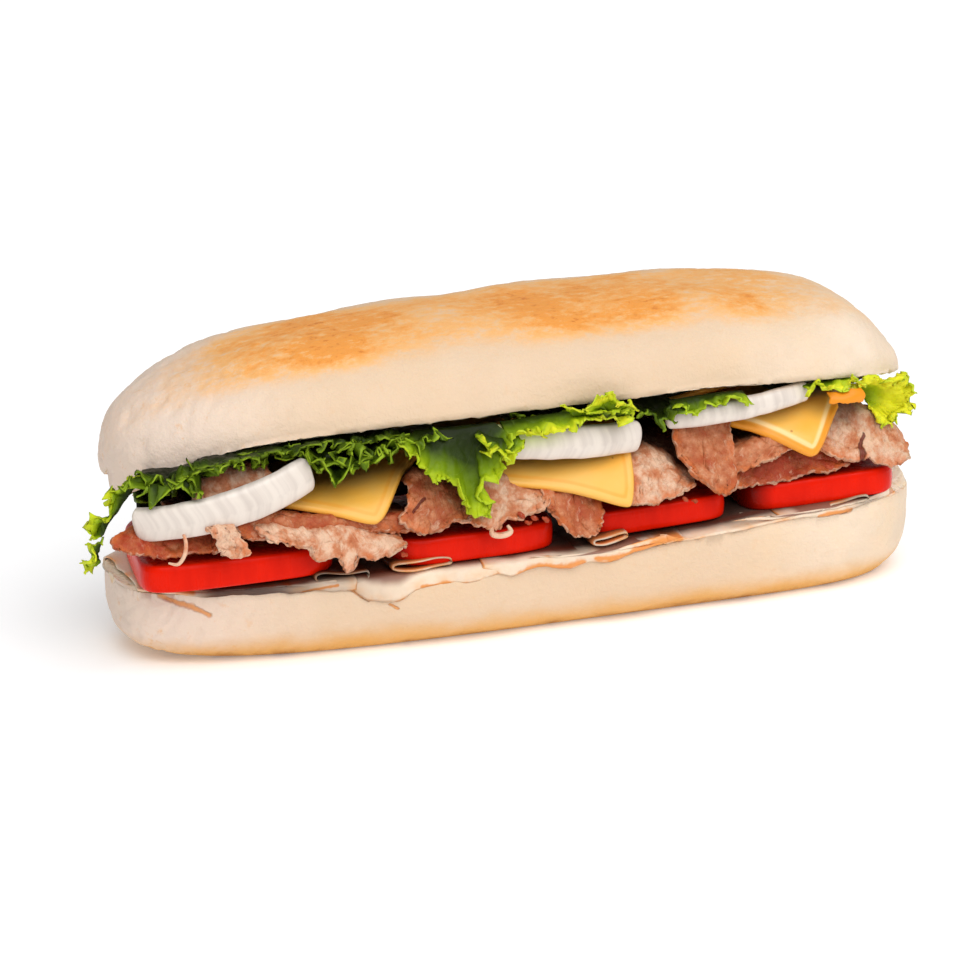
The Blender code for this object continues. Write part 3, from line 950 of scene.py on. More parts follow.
# each slice: the points (x, z) of its front hem, and its back hem's height
TURKEY = {
    1: (((-121, 25.2), (-113, 23.6), (-102, 22.6), (-88, 22.6), (-74, 22), (-60, 21)), 20),
    2: (((-70, 24.4), (-63, 22.4), (-56, 17.6), (-47, 16.4), (-42, 19), (-34, 20), (-24, 19.8),
         (-12, 21.6)), 18),
    3: (((-22, 23.4), (-12, 20.4), (-4.7, 21.4), (3, 20.2), (12, 21.2), (18.7, 20.6), (25.4, 22.3),
         (42, 25.4)), 19),
    4: (((34, 27), (44, 24.6), (62, 25.4), (78, 26.2), (94, 26), (106, 27.6), (115, 28.8)), 21),
}
# second layers that end a little above the hem: slice, then the points (x, z) of their edge
TURKEY_LAYERS = (
    (1, ((-114, 25.2), (-106, 24.6), (-96, 24), (-84, 24.4), (-74, 23.8), (-66, 25.2))),
    (3, ((-8, 25.2), (-2, 24.2), (6, 23.4), (14, 23.6), (26, 25), (36, 26.8))),
    (4, ((56, 28.4), (66, 28.2), (80, 27.6), (92, 28), (104, 29), (112, 30.6))),
)
# folded loops that show end on: slice, left, right, height of the underside, height of the loop
TURKEY_LOOPS = (
    (1, -72, -56, 23.8, 3.0),
    (2, -49, -31, 25.2, 2.6),
    (3, 13, 24, 26.4, 2.0),
    (4, 90, 103, 27.4, 2.2),
)


def heel_edge(x):
    """Half width of the heel at x."""
    return blunt(x, HEEL_LEFT, HEEL_RIGHT) * HEEL_HALF_WIDTH


def turkey_sheet(number, hem, back=None):
    """A thin slice across the heel, hanging over its front, and over its back if that is given."""
    lift = 0.45 if back is None else 0.3 * (number % 2)
    left, right = hem[0][0], hem[-1][0]
    xs = np.linspace(left if back else left + 16, right, 7)
    edges = [max(14.0, heel_edge(x)) for x in xs]
    top = [heel_cut(x) + 0.8 + lift for x in xs]
    ends = [max(14.0, heel_edge(x)) for x, _ in hem]
    rails = [
        [(x, 0, t) for x, t in zip(xs, top)],
        [(x, -e + 3.5, t - 0.1 - 1.3 * fuller_side(x)) for x, e, t in zip(xs, edges, top)],
        [(x, -e + 0.1 - lift, t - 0.9 - 1.6 * fuller_side(x)) for x, e, t in zip(xs, edges, top)],
        [(x, -e - 0.25 - lift, z) for (x, z), e in zip(hem, ends)],
    ]
    stations = [0, 0.62, 0.78, 1]
    if back:
        rails = [
            [(x, e + 0.9, back + 0.8 * sin(x / 7)) for x, e in zip(xs, edges)],
            [(x, e + 0.4, t - 1.4) for x, e, t in zip(xs, edges, top)],
            [(x, e - 4, t) for x, e, t in zip(xs, edges, top)],
        ] + rails
        stations = [0, 0.1, 0.18, 0.45, 0.78, 0.86, 1]
    grid = loft(rails, stations, spread(TURKEY_GRID[0]), spread(TURKEY_GRID[1], 0.2))
    near_hem = smoothstep(12, 1, border_distance(grid)[3])
    wave = field(grid, 8, number) * 1.1 + field(grid, 3.2, number + 3.3) * 0.3
    grid[..., 1] -= near_hem * np.abs(wave) * 0.5
    grid[..., 2] += 0.5 * near_hem * wave
    return fray(grid, 0.25, 5.5, number)


def fray(grid, amount, size, seed, depth=4.0, sides=("left", "right", "top", "bottom")):
    """Moves the grid's chosen sides in and out unevenly, fading out within depth of each side."""
    distances = dict(zip(("left", "right", "top", "bottom"), border_distance(grid)))
    across = unit(np.gradient(grid, axis=1))
    down = unit(np.gradient(grid, axis=0))
    ways = {"left": -across, "right": across, "top": -down, "bottom": down}
    picks = {"left": np.s_[:, :1], "right": np.s_[:, -1:], "top": np.s_[:1], "bottom": np.s_[-1:]}
    result = grid.copy()
    for side in sides:
        border = grid[picks[side]]
        shift = field(border, size, seed + 1.3) * 2 + field(border, size * 0.4, seed + 5.9) * 0.8
        weight = smoothstep(depth, 0, distances[side])
        result += ways[side] * (weight * shift * amount)[..., None]
    return result


def turkey_loop(left, right, low, height):
    """A slice folded back on itself: the flattened loop of its fold, running inwards from the front."""
    angles = circle(LOOP_GRID[0])
    centre = (left + right) / 2
    half = (right - left) / 2
    x = centre + half * signed_power(np.cos(angles), 0.7)
    z = low + height / 2 * (1 + signed_power(np.sin(angles), 0.55)) + 0.4 * np.sin(x / 3.1)
    rings = []
    for depth in np.linspace(0, 1, LOOP_GRID[1]):
        wobble = 0.3 * np.sin(depth * 7 + x / 4)
        y = -max(20.0, heel_edge(centre)) - 0.8 + 26 * depth + 0.6 * np.sin(x / 3)
        pinched = low + height / 2 + (z - low - height / 2) * (1 - 0.75 * depth)
        rings.append(np.stack([x, y, pinched + wobble], axis=1))
    grid = np.array(rings).transpose(1, 0, 2)
    return np.concatenate([grid, grid[:1] + 1e-4])


def make_turkey_finish(settings):
    """Smooth pale slices with browned rims and folds."""
    material, finish, shader = new_finish(
        "Sliced turkey", roughness=0.45, specular=0.3, subsurface=0.1, depth=0.0015, scatter=(1, 0.55, 0.35),
    )
    place = finish.place()
    edge = finish.value("edge")
    cloud = finish.noise(place, 0.009, 4)
    flesh = finish.mix(finish.step(cloud, 0.35, 0.65), settings.flesh, linear(236, 214, 190))
    patches = finish.patches(place, 0.01, 3, 0.42, 0.66)
    warm = finish.times(finish.step(edge, 4.5, 0.5), patches, 0.6)
    flesh = finish.mix(warm, flesh, settings.warm)
    # orange-brown rim at the free edges: partly the slice's browned rim, partly painted shade along the hem
    rim = finish.times(finish.step(edge, 0.8, 0.25), patches)
    flesh = finish.over(flesh, settings.rim, rim, 0.9)
    # painted shade, orange brown, inside the folded loops
    hollow = finish.times(finish.value("tone"), finish.step(edge, 0.3, 1.4))
    flesh = finish.over(flesh, linear(226, 128, 52), hollow, 0.9)
    # painted shade lines in the rim colour, along the turkey's folds and hems
    marks = shade_lines(finish, place, (2, 4, 5, 6, 7, 8, 9, 11))
    flesh = finish.over(flesh, settings.rim, marks, 0.9)
    # painted shade, near black, where it lies deep between the other pieces
    inside = finish.group("Deep shade", place=place, outer=0.0385, inner=0.034)["Mask"]
    flesh = finish.over(flesh, linear(50, 12, 5), inside, 0.93)
    # darker reddish brown on the served side, away from the hems
    _, across, _ = finish.split(place)
    served = finish.step(across, ORIGIN[1] - 0.03, ORIGIN[1] - 0.036)
    served_darkening = finish.times(finish.step(edge, 4.2, 7.5), served, 0.8)
    flesh = finish.mix(served_darkening, flesh, linear(112, 42, 18))
    finish.put(shader["Base Color"], flesh)
    finish.put(shader["Roughness"], finish.step(cloud, 0.3, 0.7, 0.38, 0.56))
    finish.put(shader["Normal"], finish.bump(finish.noise(place, 0.0011, 3), 0.0003, 0.5))
    return material


class SANDWICH_OT_turkey(bpy.types.Operator):
    """Make the thin turkey slices that drape over the heel"""

    bl_idname = "sandwich.turkey"
    bl_label = "Turkey"

    def execute(self, context):
        settings = context.scene.sandwich_turkey
        material = make_turkey_finish(settings)
        thickness = settings.thickness / MM
        for number, (hem, back) in TURKEY.items():
            shape = Shape()
            shape.slab(turkey_sheet(number, hem, back), thickness, layer=number)
            for slice_number, edge in TURKEY_LAYERS:
                if slice_number == number:
                    shape.slab(turkey_sheet(number + 0.4, edge), thickness, layer=number + 0.4)
            for slice_number, *sizes in TURKEY_LOOPS:
                if slice_number == number:
                    shape.slab(turkey_loop(*sizes), 1.4 * thickness, tone=1, layer=number + 0.2)
            shape.piece(f"turkey_slice_{number}", "turkey", material)
        return {"FINISHED"}


# ---------------------------------------------------------------- tomato

# each slice: width along the roll as a share of its round solid, its shift along the roll, and how far
# its served edge swells up and sinks down, in mm, and how much its left side turns away
TOMATO_SHAPE = {
    1: (0.98, -1.4, 0.6, 0.0, 0.15),
    2: (0.89, -2.2, 0.6, 0.8, 0.0),
    3: (0.9, -2.4, 0.0, 2.0, 0.0),
    4: (0.97, -2.2, 0.6, 2.3, 0.0),
}


def tomato_rings(low, high, number, thickness):
    """A thick round slice: rings of points from the middle of its lower face to that of its upper."""
    centre = (low + high) / 2
    radius = (high[0] - low[0]) / 2
    lean = (high[2] - low[2] - thickness) / (2 * radius)
    reach, shift, rise, dip, turned = TOMATO_SHAPE[number]
    profile = [(0.04, -1), (0.3, -1), (0.6, -1), (0.85, -1), (0.95, -0.99), (0.98, -0.93), (0.994, -0.8)]
    profile += [(1.0, -0.45), (1.003, 0.0)]
    profile += [(share, -height) for share, height in reversed(profile[:-1])]
    angles = circle(TOMATO_ROUND)
    # the served side is squarer than the back
    depth_power = np.where(angles > pi, 0.34, 0.56)
    bulge = 1 + 0.01 * np.sin(2 * angles + number) + 0.008 * np.sin(5 * angles + 2 * number)
    rings = []
    for share, height in profile:
        x = centre[0] + shift + reach * radius * share * bulge * signed_power(np.cos(angles), 0.38)
        y = centre[1] + radius * share * bulge * signed_power(np.sin(angles), depth_power)
        x = x + turned * (y - centre[1] + radius) * smoothstep(0, -radius, x - centre[0])
        sink = 0.35 * smoothstep(0.9, 0.5, share) * np.sign(height)
        z = centre[2] + height * thickness / 2 - sink + lean * (x - centre[0])
        z += (rise * (0.5 + 0.5 * height) - dip) * smoothstep(-8, -30, y)
        rings.append(np.stack([x, y, z], axis=1))
    return np.array(rings), np.array([share for share, _ in profile])


def make_tomato_finish(settings):
    """Glossy red skin round the slice, wet flesh with seed chambers on its cut faces."""
    material, finish, shader = new_finish(
        "Tomato", roughness=0.34, specular=0.09, subsurface=0.0,
    )
    place = finish.place()
    radius = finish.value("tone")
    streak = finish.noise(finish.stretch(place, (1, 1, 0.3)), 0.004, 3)
    skin = finish.mix(finish.times(finish.step(streak, 0.3, 0.75), 0.5), settings.skin, linear(204, 18, 0))
    flesh = finish.over(settings.flesh, linear(180, 22, 4), finish.patches(place, 0.0025, 4, 0.35, 0.65))
    chamber = finish.times(finish.step(radius, 0.72, 0.6), finish.patches(place, 0.011, 2, 0.47, 0.55))
    seeds = finish.step(finish.cells(place, 0.0032), 0.2, 0.32)
    pulp = finish.mix(seeds, linear(226, 176, 100), linear(206, 84, 30))
    face = finish.mix(chamber, flesh, pulp)
    surface = finish.mix(finish.step(radius, 0.955, 0.99), face, skin)
    # painted shade, dark red, on the left end of a slice tucked in behind its neighbour
    tucked = finish.step(finish.value("edge"), 9.0, 1.0)
    finish.put(shader["Base Color"], finish.mix(finish.times(tucked, 0.85), surface, linear(56, 4, 0)))
    finish.put(shader["Roughness"], finish.step(streak, 0.3, 0.7, 0.24, 0.36))
    finish.put(shader["Normal"], finish.bump(finish.noise(place, 0.0018, 3), 0.0003, 0.35))
    return material


class SANDWICH_OT_tomato(bpy.types.Operator):
    """Make the tomato slices"""

    bl_idname = "sandwich.tomato"
    bl_label = "Tomato"

    def execute(self, context):
        settings = context.scene.sandwich_tomato
        material = make_tomato_finish(settings)
        for number in range(1, 5):
            low, high = ((np.array(corner) - ORIGIN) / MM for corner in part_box(f"tomato_slice_{number}"))
            rings, shares = tomato_rings(low, high, number, settings.thickness / MM)
            shape = Shape()
            # the first slice isn't tucked in behind another and gets no painted shade
            inward = rings[..., 0] - rings[..., 0].min() + 20 * (number == 1)
            shape.tube(rings, tone=np.repeat(shares[:, None], rings.shape[1], axis=1), edge=inward)
            shape.piece(f"tomato_slice_{number}", "tomato", material)
        return {"FINISHED"}


# ---------------------------------------------------------------- roast pork

# each slice: level on the mound, how dark it is, from roasting and, for slices 1 and 2, also painted shade,
# then the rails of its front from the brow down to the hem. A rail is (distance in front of the middle,
# points (x, z)).
PORK = {
    1: (0, 0.75, ((24, ((-119, 45), (-109, 46), (-98, 45))),
                  (31, ((-130.6, 43.4), (-120, 42.4), (-108, 41.4), (-95, 41))),
                  (34.5, ((-130.4, 40.4), (-121, 38.2), (-106, 36.8), (-95, 37.6))))),
    2: (0, 0.6, ((34, ((-96, 44.5), (-86, 46), (-71, 44.6), (-52, 42), (-41, 42))),
                 (39, ((-95, 41.6), (-84, 40.6), (-69, 39.6), (-52, 38.4), (-40, 36.5))))),
    3: (1, 0.12, ((37, ((-92, 44.5), (-78, 42.6), (-62, 40.6), (-47, 36))),
                  (41, ((-90, 42.6), (-80, 41), (-66, 39.6), (-56, 37), (-46, 34))),
                  (43.4, ((-88.5, 41.1), (-81.7, 39.2), (-75.6, 37), (-73.6, 33.8), (-70.6, 34.2),
                          (-67, 33.6), (-65.6, 29.2), (-63, 28.9), (-61.6, 32), (-56.4, 31), (-51, 32),
                          (-47, 34))))),
    4: (1.8, 0.05, ((42, ((-106, 47.4), (-98.4, 46.6))),
                    (44, ((-103, 40.6), (-94.6, 41))),
                    (44.6, ((-101, 38), (-99, 37.2), (-96.4, 38), (-94, 38.8))))),
    5: (6, 0.2, ((27, ((-106, 55), (-100, 59.5), (-92, 61), (-83, 59))),
                 (36, ((-108, 51), (-100, 50.5), (-90, 52), (-83, 54))))),
    6: (3.4, 0.5, ((31, ((-43, 51), (-39, 53.6), (-34, 50.6), (-28, 46.5), (-23, 41.5))),
                    (37, ((-44, 46.6), (-40.6, 47.5), (-36, 46), (-30, 43.5), (-25, 40.6))),
                    (41.5, ((-49, 40.5), (-45, 38), (-41, 36.8), (-36, 36.6), (-31, 39), (-26, 40))))),
    7: (2, 0.2, ((34, ((-25, 46), (-20, 50), (-15, 50), (-9, 46), (-1, 45))),
                 (39, ((-26, 42), (-21, 42), (-15, 41.5), (-8, 42), (-1, 43))),
                 (42, ((-27, 39), (-22.6, 36.8), (-19, 35.4), (-15, 38.4), (-11, 37.6), (-6, 39),
                       (-1, 41.6))))),
    8: (1, 0.55, ((36, ((-3, 45), (4, 45), (10, 43), (17, 38))),
                  (40.5, ((-2, 39.5), (3, 36.5), (8, 33), (15, 33))),
                  (42, ((-1.6, 38), (2, 34), (5, 31), (8.6, 29.2), (12.6, 29), (14, 32))))),
    9: (3, 0.18, ((30, ((25.6, 51), (31, 52.6), (38, 49.6), (47, 43.6))),
                  (37.5, ((25, 46), (30, 46), (38, 44), (46, 41))),
                  (42, ((24, 38.6), (28, 37.4), (34, 37.3), (38, 38.4), (43, 40))))),
    10: (4, 0.48, ((29, ((41, 60), (48, 61), (55, 60.5), (61, 59))),
                   (37, ((41, 50.5), (48, 50), (59, 49.5))),
                   (41.6, ((44, 44), (48.6, 40.6), (54.6, 36.4), (58, 38.8))))),
    11: (2, 0.36, ((33, ((57, 49), (65, 51), (73, 52), (83, 52))),
                   (39, ((52, 41), (61, 42.8), (69, 45.4), (80, 48))))),
    12: (0, 0.9, ((28, ((62, 43), (72, 45.5), (84, 46.5), (98, 43))),
                  (36, ((58, 37.5), (68, 37.2), (78, 38), (90, 38.8), (98, 39.6))))),
    13: (3, 0.12, ((27, ((90, 55), (96, 58.5), (106, 55.6), (113, 51), (117.4, 46.6))),
                   (34, ((88, 49), (97, 49), (107, 47), (113, 45.4), (118, 43.4))),
                   (38, ((87, 46.4), (93, 43.4), (99.6, 40.6), (102, 42), (106.6, 38.8), (112, 38.8),
                         (116, 41))))),
}
# thin strands and small crumbs that hang free: slice, thickness, roasting tone, points
PORK_SCRAPS = (
    (1, 0.62, -0.3, ((-112, -38, 46), (-112, -41.5, 42.6), (-113, -42.4, 39.4), (-115, -42.6, 37.4),
                     (-117.6, -42.2, 38))),
    (7, 0.95, -0.2, ((-20, -42.5, 37), (-20.4, -43.4, 35), (-17.4, -43.8, 34.2), (-14.6, -43.4, 35),
                     (-15.2, -42.4, 36.6))),
    (7, 1.0, 0.9, ((-11.6, -41.6, 39.6), (-10.6, -42, 39), (-9.8, -41.4, 38))),
    (7, 0.9, 1.0, ((-7.4, -41.4, 38.2), (-6.4, -42, 37.4), (-5.4, -41.4, 37))),
    (8, 1.0, 0.9, ((-4, -41.4, 37.4), (-3, -42, 36.6), (-2.2, -41.4, 35.8))),
    (8, 0.8, 0.7, ((-9.4, -41, 36.8), (-8.2, -41.6, 36.2), (-7.2, -41, 36.4))),
    (9, 0.8, 0.5, ((40.2, -41.6, 38), (41.2, -42, 37.4), (42, -41.6, 37))),
    (10, 0.8, 0.3, ((43.2, -41.6, 37), (44.2, -42, 36.6), (45, -41.6, 36))),
    (3, 0.9, 0.8, ((-55, -41.6, 36), (-54, -42, 35.2), (-53, -41.6, 34.6))),
    (3, 0.8, 1.0, ((-51.6, -41.4, 33.6), (-50.6, -41.8, 32.8), (-49.8, -41.4, 32.4))),
    (3, 0.9, 0.6, ((-48, -41.4, 32.2), (-46.8, -41.8, 31.4), (-46, -41.4, 31.6))),
    (12, 0.9, 1.0, ((88, -38.4, 41.4), (89.4, -39, 40.8), (90.6, -38.6, 41.2))),
)
# share of a slice that lies behind its served front
FRONT_FROM = 0.56


def pork_sheet(number, crumple):
    """A slice across the mound, from its hanging back end to the hem at the served side."""
    level, _, front = PORK[number]
    top_points = front[0][1]
    left, right = top_points[0][0], top_points[-1][0]
    xs = np.linspace(max(-106, left), min(114, right), 4)
    height = [mound_floor(x) + level * LEVEL_STEP + 1.2 for x in xs]
    reach = shoulder(level)
    rails = [
        [(x, reach + 12, z - 5 + 1.5 * sin(x / 5)) for x, z in zip(xs, height)],
        [(x, reach + 4, z - 0.8) for x, z in zip(xs, height)],
        [(x, 4, z) for x, z in zip(xs, height)],
        [(x, -0.7 * front[0][0], max(z, 0.5 * z + 0.5 * top_points[0][1])) for x, z in zip(xs, height)],
    ]
    rails += [[(x, -out, z) for x, z in points] for out, points in front]
    stations = [0, 0.12, 0.34, FRONT_FROM] + list(np.linspace(0.68, 1, len(front)))
    back = np.linspace(0, FRONT_FROM, PORK_BACK_ROWS, endpoint=False)
    down = np.concatenate([back, FRONT_FROM + (1 - FRONT_FROM) * spread(PORK_FRONT_ROWS, 0.3)])
    grid = loft(rails, stations, spread(PORK_ACROSS), down)
    # a slice at the end of the roll sags on to the tomato
    sag = 0.05 * np.maximum(0, grid[..., 0] - 98) ** 2 * smoothstep(-30, -12, grid[..., 1])
    lowest = np.array([[mound_floor(x) for x in row] for row in grid[..., 0]]) + 0.6
    height = grid[..., 2]
    grid[..., 2] = np.where(sag > 0, np.maximum(height - sag, np.minimum(height, lowest)), height)
    grid = fray(grid, 0.6, 4.4, number * 1.7, 3.0)
    grid = fray(grid, 0.35, 1.3, number * 2.9, 1.2, ("left", "right", "bottom"))
    fold = 1 - np.abs(field(grid, 11, number + 0.5)) / 0.16
    crease = 1 - np.abs(field(grid, 5, number * 1.7)) / 0.1
    lumps = field(grid, 8, number * 2.3) * 2
    lumps += 0.7 * field(grid, 2.6, number) + 0.4 * field(grid, 1.2, number)
    relief = crumple * (0.8 * lumps + 0.7 * np.clip(fold, 0, 1) ** 2 - 0.6 * np.clip(crease, 0, 1) ** 1.5)
    return grid + grid_normals(grid) * relief[..., None]


def make_pork_finish(settings):
    """Roast meat: grey-pink muscle with fibres, browned towards the rim, pale at the very edge partly as a
    painted highlight, with painted shade deep inside.
    """
    material, finish, shader = new_finish(
        "Roast pork", roughness=0.4, specular=0.28, subsurface=0.06, depth=0.0012, scatter=(1, 0.35, 0.2),
    )
    place = finish.place()
    flat = finish.value("flat")
    edge = finish.value("edge")
    roast_and_shade = finish.value("tone")
    uneven = finish.math("SUBTRACT", finish.noise(place, 0.0035, 4), 0.5)
    ragged = finish.math("ADD", edge, finish.times(uneven, 4.0))
    fibre = finish.noise(finish.stretch(flat, (1, 0.2, 40)), 0.0011, 4, 0.65)
    cloud = finish.noise(place, 0.0055, 5, 0.62)
    spots = finish.noise(place, 0.0026, 4, 0.65)
    level = finish.math("ADD", roast_and_shade, finish.times(finish.math("SUBTRACT", cloud, 0.48), 1.6))
    level = finish.math("ADD", level, finish.times(finish.math("SUBTRACT", spots, 0.5), 0.9))
    meat = finish.ramp(
        level,
        (0.0, settings.muscle),
        (0.3, linear(202, 132, 92)),
        (0.6, settings.roasted),
        (1.0, settings.dark),
    )
    marbling = finish.noise(finish.stretch(flat, (1, 0.45, 40)), 0.0034, 5, 0.7, 0.6)
    marbling = finish.step(marbling, 0.56, 0.7)
    meat = finish.over(meat, settings.fat, marbling, 0.5)
    grain = finish.times(finish.step(fibre, 0.46, 0.3), 0.4)
    meat = finish.mix(grain, meat, settings.roasted)
    veins = finish.math("SUBTRACT", finish.noise(place, 0.0045, 3, 0.6, 0.8), 0.5)
    veins = finish.math("MAXIMUM", veins, finish.times(veins, -1.0))
    dark_lines = finish.times(finish.step(veins, 0.035, 0.0), finish.patches(place, 0.009, 2, 0.45, 0.6))
    meat = finish.over(meat, linear(130, 62, 38), dark_lines, 0.22)
    fringe = finish.times(finish.step(ragged, 3.8, 0.8), finish.patches(place, 0.006, 3, 0.35, 0.65))
    meat = finish.over(meat, settings.crust, fringe, 0.7)
    # whitish rim at the very edge: partly fat and torn rim, partly a painted highlight
    rim = finish.times(finish.step(edge, 0.75, 0.3), finish.patches(place, 0.004, 3, 0.42, 0.56))
    meat = finish.over(meat, settings.fat, rim, 0.5)
    # painted shade, near black red, in two notches of the pork
    marks = finish.step(shade_lines(finish, place, (12, 13)), 0.1, 1.0)
    meat = finish.over(meat, linear(104, 30, 18), marks, 0.9)
    # painted shade, near black, where it lies deep between the other pieces
    inside = finish.group("Deep shade", place=place, outer=0.035, inner=0.029)["Mask"]
    meat = finish.over(meat, linear(44, 14, 8), inside, 0.9)
    finish.put(shader["Base Color"], meat)
    finish.put(shader["Roughness"], finish.step(cloud, 0.35, 0.65, 0.32, 0.52))
    height = finish.math("ADD", finish.times(fibre, 0.9), finish.times(spots, 1.6))
    height = finish.math("SUBTRACT", height, finish.times(marks, 2.0))
    finish.put(shader["Normal"], finish.bump(height, 0.0006, 0.8))
    return material


def thread(points, radius):
    """Rings of points round a thin strand that tapers to both of its ends."""
    t = np.linspace(0, 1, STRAND_RINGS[0])
    centres = rail(points, t)
    ahead = unit(np.gradient(centres, axis=0))
    sides = unit(np.cross(ahead, (0, 1, 0.1)))
    ups = np.cross(sides, ahead)
    angles = circle(STRAND_RINGS[1])
    girth = radius * (0.35 + 0.65 * np.sin(pi * np.clip(t, 0.02, 0.98)) ** 0.6)
    rings = [centres + girth[:, None] * (sides * cos(a) + ups * sin(a)) for a in angles]
    return np.array(rings).transpose(1, 0, 2)


class SANDWICH_OT_pork(bpy.types.Operator):
    """Make the slices and scraps of roast pork"""

    bl_idname = "sandwich.pork"
    bl_label = "Roast pork"

    def execute(self, context):
        settings = context.scene.sandwich_pork
        material = make_pork_finish(settings)
        for number, (_, roast_and_shade, _) in PORK.items():
            shape = Shape()
            grid = pork_sheet(number, settings.crumple / MM)
            shape.slab(grid, settings.thickness / MM, tone=roast_and_shade, layer=number)
            for slice_number, radius, tone, points in PORK_SCRAPS:
                if slice_number == number:
                    crumb = tone > 0
                    rings = thread(points, radius * (0.75 if crumb else 1))
                    rings = rings + 0.3 * crumb * jumble(rings, 0.9)
                    shape.tube(rings, tone=tone + 0.5 * crumb, edge=9.0 * crumb, layer=20)
            shape.piece(f"pork_slice_{number}", "roast_pork", material)
        return {"FINISHED"}


# ---------------------------------------------------------------- cheese

# each slice: x and drop of its hanging corner, its turn and slope in degrees, level, sag, side, how much
# further its corner droops, how far its right rim leans, and how far its rim has melted over
CHEESE = {
    1: (-54, 10.6, 25, 55, 4.8, 1.2, 1, 1.5, 0.16, 0.25),
    2: (24, 14.5, 18, 62, 4.4, 0, 1, 3.6, -0.14, 0.15),
    3: (82.6, 12.6, 35, 55, 5, 0, 1, 1.6, 0.0, 1.0),
    4: (-8, 10, 28, 55, 6, 0, -1, 1.0, 0.0, 0.2),
    5: (70, 10, 24, 55, 6, 0, -1, 1.0, 0.0, 0.2),
}
# a torn, deeper coloured tab of cheese beside one of the corners
TAB_SLICE = 3
TAB = (
    ((88, -39.4, 64.6), (93, -40.4, 64), (97, -40.2, 64.8), (99.4, -39.6, 64.4)),
    ((88, -41.4, 62.8), (93, -42.2, 62.4), (97, -41.6, 63), (99.8, -41, 62.6)),
    ((87.6, -41.4, 61), (92, -42, 60.8), (96, -41.8, 60.4), (99, -41, 60.8)),
)


def cheese_sheet(number, side_length):
    """A square slice, turned so that one corner hangs over the side of the mound."""
    x, drop, turn, fall, level, sag, side, droop, lean, melted = CHEESE[number]
    fall = radians(fall)
    turn = radians(turn)
    corner = np.array((x, reach_of_drop(level, fall, drop)))
    along = np.array((-cos(turn), -sin(turn)))
    inward = np.array((sin(turn), -cos(turn)))
    rows = []
    for v in spread(CHEESE_GRID, 0.35):
        row = []
        for u in spread(CHEESE_GRID, 0.35):
            pull = 0.5 - 0.5 * (1 - 0.07 * abs((2 * u - 1) * (2 * v - 1)) ** 8)
            share = np.array((u, v)) * (1 - 2 * pull) + pull
            flat = corner + side_length * (share[0] * along + share[1] * inward)
            point = on_mound(flat[0], flat[1] * side, level - sag * u, fall)
            lower = droop * max(0.0, 1 - u / 0.5) ** 2 * max(0.0, 1 - v / 0.35)
            proud = 1.8 * side * max(0.0, 1 - u / 0.6)
            shift = lean * side_length * v * max(0.0, 1 - u / 0.9)
            row.append((point[0] + shift, point[1] - proud, point[2] + 1.3 - lower))
        rows.append(row)
    grid = np.array(rows)
    nearest = np.minimum.reduce(border_distance(grid))
    normal = grid_normals(grid)
    outward = np.where(np.sum(normal * (grid - (0, 0, 30)) * (0, 1, 1), axis=-1) < 0, -1, 1)
    sway = 0.5 * field(grid, 16, number * 3.1) + 0.25 * field(grid, 7, number)
    melt = melted * (smoothstep(3.6, 1.2, nearest) + 0.35 * smoothstep(3.6, 2.8, nearest))
    return grid + normal * (outward * (sway - melt))[..., None]


def make_cheese_finish(settings):
    """Smooth cheese, with a painted highlight in a band along its cut rim and on a melted rim's ridge, and
    deeper where it folds under.
    """
    material, finish, shader = new_finish(
        "Yellow cheese", roughness=0.36, specular=0.35, subsurface=0.08, depth=0.002, scatter=(1, 0.6, 0.2),
    )
    place = finish.place()
    edge = finish.value("edge")
    melted = finish.value("tone")
    cloud = finish.noise(place, 0.014, 3)
    body = finish.mix(finish.step(cloud, 0.35, 0.65), settings.body, linear(238, 184, 88))
    unmelted = finish.step(melted, 0.8, 0.4)
    # painted highlight: a lighter band along the rounded rim
    band = finish.times(finish.step(edge, 2.7, 2.1), finish.step(edge, 0.2, 0.9), unmelted)
    body = finish.over(body, settings.rim, band, 0.55)
    under = finish.times(finish.step(edge, 3.8, 3.0), finish.step(edge, 2.2, 2.8))
    body = finish.over(body, settings.shade, under, 0.35)
    body = finish.over(body, settings.shade, finish.step(edge, 2.9, 2.2), finish.times(melted, 0.75))
    run = finish.step(melted, 0.6, 0.9)
    # painted highlight along the ridge where a melted rim bends over
    ridge_highlight = finish.times(finish.step(edge, 4.2, 3.6), finish.step(edge, 2.6, 3.1), run)
    body = finish.over(body, linear(255, 220, 158), ridge_highlight, 0.8)
    speck = finish.step(finish.cells(place, 0.011), 0.05, 0.035)
    body = finish.over(body, linear(150, 80, 30), speck, 0.6)
    finish.put(shader["Base Color"], body)
    finish.put(shader["Roughness"], finish.step(cloud, 0.3, 0.7, 0.3, 0.44))
    finish.put(shader["Normal"], finish.bump(finish.noise(place, 0.0025, 2), 0.0003, 0.25))
    return material


class SANDWICH_OT_cheese(bpy.types.Operator):
    """Make the square cheese slices with their hanging corners"""

    bl_idname = "sandwich.cheese"
    bl_label = "Cheese"

    def execute(self, context):
        settings = context.scene.sandwich_cheese
        material = make_cheese_finish(settings)
        thickness = settings.thickness / MM
        for number, values in CHEESE.items():
            shape = Shape()
            shape.slab(cheese_sheet(number, settings.side / MM), thickness, tone=values[-1], layer=number)
            if number == TAB_SLICE:
                tab = loft(TAB, (0, 0.5, 1), spread(TAB_GRID[0]), spread(TAB_GRID[1]))
                tab = fray(tab, 0.4, 2.4, 5.0, 1.5)
                shape.slab(tab, thickness * 0.42, tone=1.6, layer=9)
            shape.piece(f"cheese_slice_{number}", "cheese", material)
        return {"FINISHED"}


# ---------------------------------------------------------------- onion

# each arc: its front point, the height of its lower edge there, radius, sweep, two tilts, height, facing
ONION = {
    1: ((-98.2, -43), 45.8, 48, 69, (11, -12.6), 10.6, -8),
    2: ((5.4, -42.5), 54.0, 60, 47, (2, 4.4), 9.4, 0),
    3: ((61, -41.5), 59.4, 52, 54, (0, -4.5), 6.4, 0),
    4: ((-68, 39), 43, 26, 76, (6, 2), 9, 180),
}


